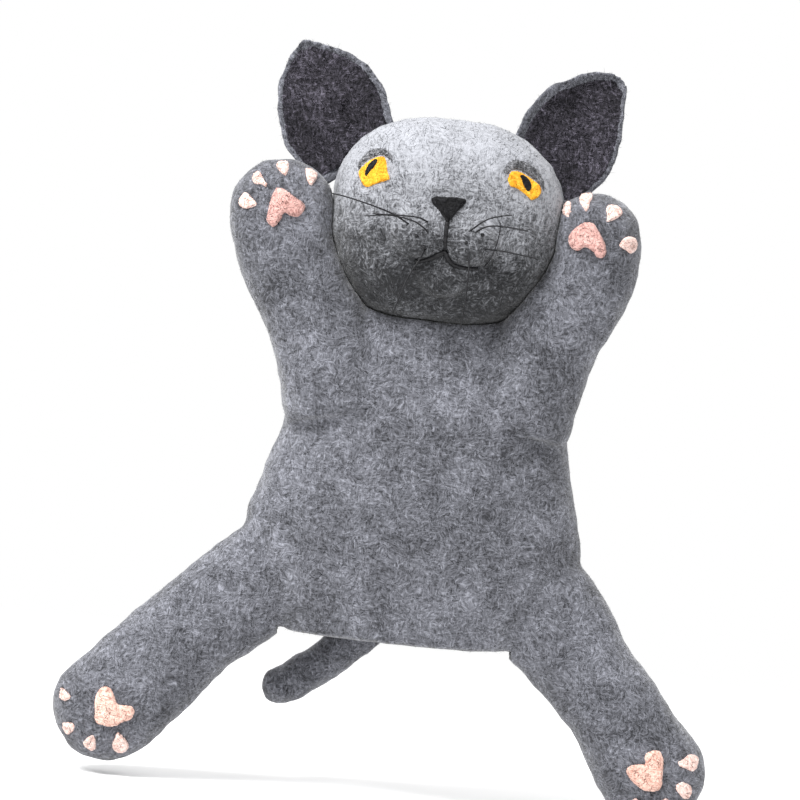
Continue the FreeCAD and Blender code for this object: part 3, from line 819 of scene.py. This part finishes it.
for (x, z), rise, wide in SWELLS:
    far = np.hypot(hc[:, 0] - x, hc[:, 2] - z)
    hc = hc + hn * (rise * np.exp(-((far / wide) ** 2)) * front)[:, None]
hc = uneven(hc, hn, (0.8, 12), (0.5, 5.5))
hc[:, 2] -= 0.055 * np.maximum(hc[:, 2] - HEAD_AT[2], 0)


def in_socket(f):
    middle = hc[list(f)].mean(axis=0)
    return middle[2] < 165 and math.hypot(*middle[:2]) < 14.5


skin_faces = [f for f in hf if not in_socket(f)]


def combed(p):
    """The lie of the wool: down the forehead, and across under the cheeks."""
    k = soft_step((p[:, 2] - 172) / 30)[:, None]
    down = np.column_stack([p[:, 0] * 0.012, np.zeros(len(p)), np.ones(len(p))])
    return 2.0 * (down * k + np.array([1.0, 0, 0.1]) * (1 - k))


head_area = area_of(hc, skin_faces)
head_piece = piece(
    "head_ball", hc, skin_faces, [PALE, PALE_HAIR, DARK_HAIR],
    hair=(
        dict(
            count=head_area * 0.12, length=(1.8, 4.6), lift=(2, 12), share=0.86, width=0.085, curl=0.22,
            flow=combed,
        ),
        dict(count=head_area * 0.05, length=(0.9, 2.4), lift=(25, 70), share=0.9, width=0.08),
    ),
)
bpy.data.meshes.remove(head)
stands_for(head_piece, "light_grey_felt", "head_felt", "head_wadding", "muzzle_left", "muzzle_right")
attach(head_piece, "head")


def tree_for(surface):
    """The search tree of a surface, given as its points and faces."""
    points, polys = surface
    return BVHTree.FromPolygons([tuple(p) for p in points], [tuple(f) for f in polys])


def flat_gap(flat, line):
    """The distance of points in X and Z from a line."""
    return to_line(np.column_stack([flat[:, 0], np.zeros(len(flat)), flat[:, 1]]), line)


def patch(name, outline, tree, rise, mats, grid, edge, hair, sunk=0.7, smooth=6):
    """A felt shape laid on the surface behind it: its outline in X and Z, and how far it stands out.

    grid is the size of its faces, edge how far in from the outline its rim is rounded, and sunk how far
    the outline goes into the surface.
    """
    ring = ease(np.vstack([outline, outline[:1]]), smooth)[:-1]
    low, high = ring.min(axis=0), ring.max(axis=0)
    closed = np.vstack([ring, ring[:1]])
    inside = []
    for i, z in enumerate(np.arange(low[1], high[1], grid * 0.87)):
        for x in np.arange(low[0] + (i % 2) * grid / 2, high[0], grid):
            crossings = 0
            for a, b in zip(closed[:-1], closed[1:]):
                if (a[1] > z) != (b[1] > z) and x < a[0] + (z - a[1]) / (b[1] - a[1]) * (b[0] - a[0]):
                    crossings += 1
            if crossings % 2:
                inside.append((x, z))
    inside = np.array(inside)
    flat = np.vstack([ring, inside[flat_gap(inside, closed) > grid * 0.55]])
    found, _, faces, *_ = delaunay_2d_cdt(
        [Vector(p) for p in flat.tolist()], [], [list(range(len(ring)))], 1, 1e-5
    )
    flat = np.array([tuple(p) for p in found])
    made = []
    for (x, z), d in zip(flat, flat_gap(flat, closed)):
        hit, n, *_ = tree.ray_cast(Vector((x, RAY_FROM, z)), Vector((0, 1, 0)))
        if hit is None:
            hit, n, *_ = tree.find_nearest(Vector((x, -30, z)))
        k = min(d / edge, 1.0)
        h = -sunk + (rise + sunk) * math.sqrt(max(1 - (1 - k) ** 2, 0))
        h += 0.12 * k * noise.noise(Vector((x, z, rise * 9)) / 1.6)
        n = (Vector(n) * 0.6 + Vector((0, -1, 0)) * 0.4).normalized()
        made.append(tuple(hit + n * h))
    made = np.array(made)
    faces = [tuple(f) for f in faces]
    probe = shape("probe", made, faces)
    if normals_of(probe.data)[:, 1].mean() > 0:
        faces = [f[::-1] for f in faces]
    drop(probe)
    return piece(name, made, faces, mats, hair=hair), (made, faces)


# Eyes
HEAD_TREE = tree_for((hc, skin_faces))
EYES = {
    "left": dict(
        iris=pts(
            -43, 218.4, -40.4, 222, -36.8, 225, -32.3, 226.5, -30.2, 224.7, -28.9, 219.3, -27.4, 215.8,
            -29.1, 214.6, -33.5, 212.8, -37.3, 211, -40, 211.8, -42.4, 215.9,
        ),
        pupil=pts(
            -39.8, 218.8, -38.5, 222.2, -35.8, 224.8, -34.2, 224.3, -34.8, 221.9, -37.1, 218.4, -38.5, 216.1,
            -39.8, 216.9,
        ),
        lid=pts(
            -43.6, 217.7, -43.9, 222.4, -41.6, 226.5, -38, 229.6, -33.5, 230.6, -29.4, 229.4, -26.9, 226.1,
            -26.8, 222, -29.4, 224.4, -32.2, 226.2, -36.8, 224.7, -40.4, 221.6, -42.6, 217.6,
        ),
    ),
    "right": dict(
        iris=pts(
            26.6, 221.1, 27.3, 223.8, 28.8, 225.7, 32.1, 226, 35.5, 224.7, 39, 223.1, 42.5, 220.8,
            43.8, 218.3, 42.5, 214.9, 39.4, 212.9, 37.3, 214, 34.4, 216, 31, 217.6, 28.3, 218,
        ),
        pupil=pts(
            32.3, 224, 34.2, 224.6, 37, 222.9, 38.7, 219.8, 38.2, 217.4, 36.6, 216.9, 34.8, 219, 33.5, 221.5,
        ),
        lid=pts(
            23.6, 225, 25.9, 229.6, 29.4, 231.6, 34.7, 231.4, 39.5, 229.2, 43.5, 225.2, 45.6, 220.5,
            44.9, 216.8, 43.1, 218.8, 38.8, 222.8, 35.3, 224.5, 32, 225.8, 29, 225.4, 26.4, 222.6,
        ),
    ),
}
for side, eye in EYES.items():
    iris, surface = patch(
        f"eye_iris_{side}", eye["iris"], HEAD_TREE, 1.15, [AMBER, GOLD_HAIR, GOLD_HAIR], 0.7, 1.2,
        [dict(count=110, length=(1.0, 2.4), lift=(2, 10), width=0.09)],
    )
    stands_for(iris, "amber_felt", f"iris_{side}")
    pupil, _ = patch(
        f"eye_pupil_{side}", eye["pupil"], tree_for(surface), 0.55, [BLACK, DARK_HAIR, DARK_HAIR], 0.6, 0.7,
        [dict(count=30, length=(0.8, 1.5), lift=(2, 10), width=0.08)], sunk=0.3,
    )
    stands_for(pupil, "black_felt", f"pupil_{side}")
    lid, _ = patch(
        f"eye_lid_{side}", eye["lid"], HEAD_TREE, 0.35, [LID, PALE_HAIR, DARK_HAIR], 0.8, 2.2,
        [dict(count=260, length=(1.6, 3.2), lift=(2, 9), share=0.6, width=0.085, curl=0.25)],
    )
    stands_for(lid, "dark_grey_felt", f"eyelid_{side}")
    for obj in (iris, pupil, lid):
        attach(obj, "head")

# Nose, mouth and whiskers
NOSE = pts(
    -8, 208.5, -5.5, 210, -2.3, 209.9, 0.9, 210.2, 4.6, 210.5, 8.7, 209.7, 8.4, 207.2, 5.3, 203.2, 2.6, 199.1,
    1.1, 196.9, -0.7, 199.2, -3.9, 203.1, -7, 206,
)
nose, _ = patch(
    "nose_patch", NOSE, HEAD_TREE, 2.0, [BLACK, DARK_HAIR, LIGHT_HAIR], 0.8, 2.6,
    [dict(count=150, length=(1.2, 2.8), lift=(2, 14), share=0.93, width=0.1)],
)
stands_for(nose, "black_felt", "nose")
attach(nose, "head")


def wire(line, radius, count=8):
    """A thin round strand along a line of points, its radius given at the root and at the tip."""
    rings = []
    for i, p in enumerate(line):
        way = line[min(i + 1, len(line) - 1)] - line[max(i - 1, 0)]
        way = way / np.linalg.norm(way)
        side = np.cross(way, np.array([0.05, 1.0, 0.08]))
        side /= np.linalg.norm(side)
        r = radius[0] + (radius[1] - radius[0]) * i / (len(line) - 1)
        rings.append(loop(p, side, r, r, 2.0, count, np.cross(way, side)))
    return skin(rings)


def on_face(x, z, out):
    """The point of the face behind X and Z, moved out from it."""
    hit, n, *_ = HEAD_TREE.ray_cast(Vector((x, RAY_FROM, z)), Vector((0, 1, 0)))
    return np.array(hit) + np.array(n) * out


def bundle(name, parts, mats, hair=()):
    """Several strands as one piece."""
    co, faces, base = [], [], 0
    for points, polys in parts:
        co.append(points)
        faces += [tuple(i + base for i in f) for f in polys]
        base += len(points)
    return piece(name, np.vstack(co), faces, mats, hair=hair)


stitches = []
for line in MOUTH:
    flat = ease(line, 7)
    stitches.append(wire(np.array([on_face(x, z, 0.2) for x, z in flat]), (1.25, 0.75)))
for x, z in ((-12.5, 190.0), (-8.6, 185.3), (10.7, 189.3), (17.7, 193.6)):
    points, faces = block((0, 0, 0), (0.85, 0.85, 0.85), 2.0, 10)
    stitches.append((points + on_face(x, z, 0.2), faces))
mouth = bundle(
    "mouth_stitches", stitches, [THREAD, DARK_HAIR, DARK_HAIR],
    [dict(count=60, length=(0.8, 1.8), lift=(5, 25), width=0.08)],
)
stands_for(mouth, "black_thread", "mouth_thread")
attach(mouth, "head")

WHISKER_Y = -57.2  # how far forward the whiskers stand once they are clear of the face
WHISKERS = {
    "left": [
        pts(-15.8, 194.9, -26.5, 199.5, -43.9, 203.8, -53.2, 205.2),
        pts(-6.5, 191.4, -9.5, 193.8, -15.3, 196.6, -26.3, 197.9, -37, 196.4),
        pts(-7.1, 196.9, -12.7, 198.3, -20.9, 198.4, -33.4, 197.8),
        pts(-7.3, 185.3, -10.6, 178.1, -15.1, 168.8, -19.6, 153.4),
    ],
    "right": [
        pts(10.2, 193.6, 18.4, 200.2, 24.2, 202.5, 30.2, 203.8),
        pts(13.9, 194.3, 20, 197.6, 28.1, 198.1, 38.4, 197.2),
        pts(19, 187.3, 29.3, 186.7, 43.1, 185.1),
        pts(12.1, 185.2, 13.1, 175.8, 12.9, 161.5, 12.1, 150.2),
        pts(19.9, 178.6, 22.8, 183.6, 24.8, 190.6, 25.4, 197.5, 24.4, 200.8),
    ],
}
for side, lines in WHISKERS.items():
    parts = []
    for k, line in enumerate(lines):
        flat = ease(line, 6)
        root = on_face(*flat[0], -1.2)
        run = np.linspace(0, 1, len(flat))
        out = soft_step(run / 0.3)
        y = root[1] * (1 - out) + (WHISKER_Y - (1.6 + 0.3 * k) * run) * out
        thick = (0.44, 0.30) if k < 4 else (0.32, 0.2)
        parts.append(wire(np.column_stack([flat[:, 0], y, flat[:, 1]]), thick, 7))
    whisker = bundle(f"bristles_{side}", parts, [THREAD])
    stands_for(whisker, "black_thread", f"whiskers_{side}")
    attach(whisker, "head")

# ---- ears

EARS = {
    "left": (
        pts(
            -25, 238, -30.4, 249.4, -32.2, 253.4, -33.8, 258.7, -36, 263.9, -40, 269, -45.4, 274.6,
            -53.3, 278.5, -61.1, 280.8, -70.8, 282.4, -77, 283.6,
        ),
        pts(
            -62, 212, -72, 221.5, -76.6, 226.4, -80.5, 230.5, -82.7, 235.7, -84.5, 242.4, -86, 247.7,
            -86.8, 254.5, -86.8, 261.3, -85.1, 267.7, -82.6, 274.1, -79.8, 279.8, -77.6, 283.4,
        ),
    ),
    "right": (
        pts(
            25, 236, 30.2, 247.2, 32.4, 254.9, 35.2, 260.7, 39.9, 268, 46.1, 274.1, 52.7, 276.9, 59.2, 280.3,
            65.8, 282.4, 71.2, 282.8, 76.4, 282, 79.4, 280.4,
        ),
        pts(
            60, 211, 71.1, 225.1, 74.2, 228.5, 77.7, 234.4, 80.2, 242.8, 81.4, 251.2, 81.6, 260.7,
            81.4, 268.9, 81.4, 275.8, 80.3, 279.6,
        ),
    ),
}


EAR_ROWS, EAR_COLUMNS = 34, 25


def even(line, count):
    """The line again, with that many points at even steps."""
    line = np.asarray(line, float)
    run = np.concatenate([[0], np.cumsum(np.linalg.norm(np.diff(line, axis=0), axis=1))])
    at = np.linspace(0, run[-1], count)
    return np.column_stack([np.interp(at, run, line[:, 0]), np.interp(at, run, line[:, 1])])


for side, (inner_edge, outer_edge) in EARS.items():
    a, b = even(inner_edge, EAR_ROWS), even(outer_edge, EAR_ROWS)
    across = np.linspace(-1, 1, EAR_COLUMNS)
    near_face = []
    for i in range(EAR_ROWS):
        t = i / (EAR_ROWS - 1)
        for s in across:
            x, z = a[i] + (b[i] - a[i]) * (s + 1) / 2
            rolled = 3.0 * max(-s - 0.55, 0) / 0.45 if side == "right" else 1.2 * max(-s - 0.6, 0) / 0.4
            near_face.append((x, 20.5 - 7.0 * s * s * (1 - 0.35 * t) - rolled * (1 - t) + 2.5 * t, z))
    near_face = np.array(near_face)
    thick = np.tile([3.9 * (1 - 0.25 * abs(s) ** 3) for s in across], EAR_ROWS)
    far_face = near_face + thick[:, None] * Y
    n = len(near_face)
    at = np.arange(n).reshape(EAR_ROWS, EAR_COLUMNS).tolist()
    faces = []
    for low_row, high_row in zip(at, at[1:]):
        for k in range(EAR_COLUMNS - 1):
            q = (low_row[k], low_row[k + 1], high_row[k + 1], high_row[k])
            faces += [q, tuple(v + n for v in q[::-1])]
    border = at[0] + [row[-1] for row in at[1:]] + at[-1][-2::-1] + [row[0] for row in at[-2:0:-1]]
    for p, q in zip(border, border[1:] + border[:1]):
        faces.append((q, p, p + n, q + n))
    ear = felted(f"ear_{side}", [(np.vstack([near_face, far_face]), faces)], 1.0, 5)
    ec, en, ef = points_of(ear), normals_of(ear), faces_of(ear)
    ec = uneven(ec + en * 0.3, en, (0.7, 9), (0.35, 4))
    area = area_of(ec, ef)
    shell = piece(
        f"ear_leaf_{side}", ec, ef, [GREY, LIGHT_HAIR, DARK_HAIR],
        hair=(
            dict(count=area * 0.14, length=(1.8, 4.0), lift=(2, 14), share=0.7, width=0.09, curl=0.25),
            dict(count=area * 0.09, length=(0.9, 2.2), lift=(25, 70), share=0.9, width=0.08),
        ),
    )
    bpy.data.meshes.remove(ear)
    stands_for(shell, "grey_felt", f"ear_{side}")
    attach(shell, "head")
    wide = 3.6 if side == "right" else 2.4  # how much of the leaf shows beside its hollow
    gaps = [b[i] - a[i] for i in range(EAR_ROWS)]
    lining_edge = [a[i] + gaps[i] * min(wide / np.linalg.norm(gaps[i]), 0.3) for i in range(2, 31)]
    lining_edge += [b[i] - gaps[i] * min(1.5 / np.linalg.norm(gaps[i]), 0.2) for i in range(30, 1, -1)]
    lining, _ = patch(
        f"ear_hollow_{side}", lining_edge, tree_for((ec, ef)), 0.5,
        [CHARCOAL, PLUM_HAIR, LIGHT_HAIR], 1.4, 1.8,
        [dict(count=1600, length=(1.6, 4.0), lift=(2, 14), share=0.8, width=0.085, curl=0.3)], smooth=2,
    )
    stands_for(lining, "charcoal_felt", f"ear_{side}_lining")
    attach(lining, "head")

# ---- pads

PADS = {
    "front_paw_left": [
        pts(
            -80.4, 207.3, -76, 206.7, -71, 203.6, -67.2, 201.7, -65.6, 199.2, -66.9, 195.8, -69.3, 193.9,
            -72.7, 194.2, -74.8, 195.3, -75.7, 194.2, -76.7, 191.4, -79.4, 188.2, -81.7, 188.9, -83.7, 191.4,
            -83.4, 195.4, -82.9, 200, -82, 204.1,
        ),
        pts(
            -98, 199.4, -95.8, 203.6, -93.4, 203.2, -90.9, 201.1, -88.6, 198.7, -89.4, 197, -93.6, 195.5,
            -97, 196.5,
        ),
        pts(
            -93.1, 210.9, -92.1, 213.3, -89.6, 214.6, -87.3, 211.8, -85.8, 209.6, -84.6, 208.4, -85.4, 206.4,
            -87.5, 207.5, -91.2, 207.7,
        ),
        pts(
            -82.4, 218.3, -80.9, 220.3, -77, 220.9, -75.7, 218.7, -75.6, 215.7, -76.7, 212.9, -78.9, 214,
            -81.5, 216.4,
        ),
        pts(
            -68.4, 218.5, -65.4, 218.4, -62.2, 216.4, -61.9, 213.8, -63, 211, -64.5, 209.2, -66.7, 212,
            -67.9, 215.2,
        ),
    ],
    "front_paw_right": [
        pts(
            58.3, 199, 60, 201.8, 63.6, 205.2, 67.4, 206.6, 70.2, 205.5, 72.1, 203.1, 74.1, 200,
            76.1, 196.9, 77.1, 193, 75.8, 189.9, 72.5, 189.9, 70.3, 192.3, 66.8, 193.9, 63.7, 191.9,
            60.9, 192.6, 58.7, 195.1,
        ),
        pts(
            53.8, 211.3, 54.9, 214.1, 58, 216.5, 58.9, 213.2, 58.4, 209.8, 58, 207.1, 56.2, 208.3,
            54.4, 209.4,
        ),
        pts(
            61.9, 217.2, 63, 220, 66.2, 221, 68.5, 220.9, 68.5, 217.9, 67.4, 215.4, 67, 212.8, 65.6, 210.9,
            63.7, 213.1, 62.5, 214.9,
        ),
        pts(
            74.6, 213.5, 75.7, 215.7, 78.6, 216.3, 82.1, 215, 83.3, 212.5, 81.9, 210.3, 78.8, 208, 75.6, 207,
            75.3, 210.3,
        ),
        pts(82, 196.4, 83.7, 199.9, 86.8, 201.9, 90.1, 201.6, 91.7, 199.4, 91.4, 196, 89, 193.5, 85.5, 194.8),
    ],
    "hind_leg_left": [
        pts(
            -136.8, -35.1, -133.9, -36.2, -131.9, -39.1, -130.1, -42.9, -126.9, -43.3, -123.7, -43.4,
            -121.7, -45.5, -122, -48.3, -123.7, -50.7, -126.7, -52, -129.3, -53.8, -132.4, -54.8,
            -136, -54.5, -139.2, -53.7, -140.6, -51.5, -140.8, -47.9, -141.4, -44.1, -141, -40.1,
            -139.4, -36.7,
        ),
        pts(
            -159, -39.9, -158, -38.9, -155.6, -40, -153.7, -41.4, -152.6, -42.9, -154, -44.6, -155.5, -45.3,
            -157.9, -45, -159, -43.2,
        ),
        pts(
            -156, -55.5, -152.5, -54.5, -150.1, -54.9, -149.3, -56.7, -150.3, -59.2, -152.6, -61.4,
            -154.5, -60.4, -156.1, -58.2,
        ),
        pts(
            -145.6, -63.9, -143.9, -61.7, -142.1, -59.9, -140.2, -59.3, -139.1, -60.8, -138.5, -63.9,
            -138.8, -66.7, -140.9, -67.7, -144.2, -66.1,
        ),
        pts(
            -128.7, -56.3, -126.5, -57.9, -124.8, -59.7, -123.3, -62.3, -123.4, -65.1, -125.2, -67,
            -128.3, -67.4, -130.9, -65.5, -131.3, -62.7, -130.3, -59.9, -129.7, -57.4,
        ),
    ],
    "hind_leg_right": [
        pts(
            122, -39.4, 125.1, -38.3, 127.9, -38.8, 129.8, -42.1, 130.2, -46, 130.3, -50.4, 130.4, -54.7,
            129.4, -57.2, 126.4, -58.3, 122.4, -58.3, 118.7, -56.7, 114.8, -53.6, 112.5, -50.3, 113, -47.8,
            116, -46.1, 119.5, -45.6, 121, -45, 120.4, -42.7, 120.8, -40.7,
        ),
        pts(
            136.4, -43, 139.2, -41.3, 141.4, -39.5, 144.5, -39.2, 147.1, -40.7, 147.4, -43.8, 146.1, -46.7,
            143.8, -47.4, 140.5, -46.1, 137.7, -45.3,
        ),
        pts(
            136.6, -53.7, 139.6, -52.2, 143.2, -53, 145.2, -55.1, 145.5, -58.3, 144, -60.8, 141.3, -60.7,
            138.6, -58.2, 136.8, -56,
        ),
        pts(
            131, -61.4, 133.2, -60.4, 135.6, -62.6, 136.8, -66, 136, -69.6, 133, -70.6, 130.2, -69,
            129.6, -65.4,
        ),
        pts(
            118.6, -61.6, 120.6, -63.4, 122.2, -66.4, 121.8, -69.8, 119.4, -71.8, 116.4, -71, 114.8, -68.2,
            116.2, -64.6,
        ),
    ],
}
for node, outlines in PADS.items():
    front_pair = node.startswith("front")
    side = node.rsplit("_", 1)[1]
    paw = f"forepaw_{side}" if front_pair else f"hindpaw_{side}"
    target = tree_for(surfaces[paw])
    for k, outline in enumerate(outlines):
        if k == 0:
            wool, slot, cad = (
                (ROSE, "rose_felt", "palm_pad") if front_pair else (BLUSH, "blush_felt", "palm_pad")
            )
            rise, grid, edge, count, share = 1.9, 1.0, 1.8, 190, 0.8
        else:
            wool, slot, cad = TOE, "pale_pink_felt", f"toe_pad_{k}"
            rise, grid, edge, count, share = 1.4, 0.8, 1.5, 60, 0.9
        pad, _ = patch(
            f"pad_{node}_{k}", outline, target, rise, [wool, PINK_HAIR, BROWN_HAIR], grid, edge,
            [dict(count=count, length=(1.2, 3.0), lift=(2, 14), share=share, width=0.1)], smooth=5,
        )
        stands_for(pad, slot, f"{node}_{cad}")
        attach(pad, f"{side}_paw" if front_pair else f"{side}_leg")

# ---- tail

line = ease([
    (2.0, 27.0, 22.0), (0.0, 36.0, 20.5), (-7.0, 42.0, 13.0), (-20.0, 42.0, -3.0),
    (-37.0, 42.0, -19.0), (-50.0, 42.0, -29.0), (-56.0, 42.0, -32.5),
], 6)
rings = []
for i, p in enumerate(line):
    way = line[min(i + 1, len(line) - 1)] - line[max(i - 1, 0)]
    way /= np.linalg.norm(way)
    side_way = np.cross(way, np.array([0.3, 0.9, 0.1]))
    side_way /= np.linalg.norm(side_way)
    r = 10.4 - 1.2 * i / (len(line) - 1)
    rings.append(loop(p, side_way, r, r, 2.0, 40, np.cross(way, side_way)))
for t in np.linspace(0.2, 1.5, 7):
    tip = r * math.cos(t)
    rings.append(loop(p + way * r * math.sin(t), side_way, tip, tip, 2.0, 40, np.cross(way, side_way)))
tail = felted("tail", [skin(rings)], 1.3, 6)
tc, tn, tf = points_of(tail), normals_of(tail), faces_of(tail)
tc = uneven(tc + tn * 0.3, tn, (0.8, 9), (0.4, 4))
tail_piece = piece("tail_roll", tc, tf, [GREY, LIGHT_HAIR, DARK_HAIR], hair=body_hair(area_of(tc, tf)))
bpy.data.meshes.remove(tail)
stands_for(tail_piece, "grey_felt", "tail")
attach(tail_piece, "tail")

# ---- stage, light and camera

seen_low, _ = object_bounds()
bpy.ops.mesh.primitive_circle_add(
    vertices=96, radius=4.0, fill_type="NGON", location=(0, 0, seen_low.z - 0.0015)
)
floor = bpy.context.object
floor.name = "floor"
mat, tree, shader = tree_of("pale_floor")
put(shader, Base_Color=(0.93, 0.93, 0.93, 1), Roughness=0.9)
glow = tree.nodes.new("ShaderNodeEmission")
put(glow, Color=(1, 1, 1, 1))
place = tree.nodes.new("ShaderNodeTexCoord").outputs["Object"]
far = tree.nodes.new("ShaderNodeVectorMath")
far.operation = "LENGTH"
tree.links.new(place, far.inputs[0])
reach = tree.nodes.new("ShaderNodeMapRange")
reach.interpolation_type = "SMOOTHSTEP"
put(reach, From_Min=0.2, From_Max=0.95)
tree.links.new(far.outputs["Value"], reach.inputs["Value"])
blend = tree.nodes.new("ShaderNodeMixShader")
tree.links.new(reach.outputs[0], blend.inputs[0])
tree.links.new(shader.outputs[0], blend.inputs[1])
tree.links.new(glow.outputs[0], blend.inputs[2])
tree.links.new(blend.outputs[0], next(n for n in tree.nodes if n.type == "OUTPUT_MATERIAL").inputs[0])
floor.data.materials.append(mat)

world = bpy.data.worlds.new("studio")
bpy.context.scene.world = world
world.use_nodes = True
put(world.node_tree.nodes["Background"], Color=(1, 1, 1, 1), Strength=1.0)
LAMPS = [
    ("key", (-0.85, -0.9, 1.5), 0.7, 54), ("fill", (1.3, -1.0, 0.4), 1.2, 0.5),
    ("back", (0.4, 1.1, 1.2), 0.8, 8),
]
for name, at, size, power in LAMPS:
    lamp = bpy.data.lights.new(name, "AREA")
    lamp.size, lamp.energy = size, power
    obj = bpy.data.objects.new(name, lamp)
    obj.location = at
    obj.rotation_euler = (Vector((0, 0, 0.1)) - Vector(at)).to_track_quat("-Z", "Y").to_euler()
    bpy.context.scene.collection.objects.link(obj)

lens = bpy.data.cameras.new("camera")
lens.lens, lens.sensor_width = 135, 36
camera = bpy.data.objects.new("camera", lens)
level = Matrix.Translation((-0.0122, -1.44, 0.1138)) @ Matrix.Rotation(math.radians(90), 4, "X")
camera.matrix_world = level @ Matrix.Rotation(math.radians(6), 4, "Z")
bpy.context.scene.collection.objects.link(camera)
bpy.context.scene.camera = camera
bpy.context.scene.view_settings.view_transform = "Standard"
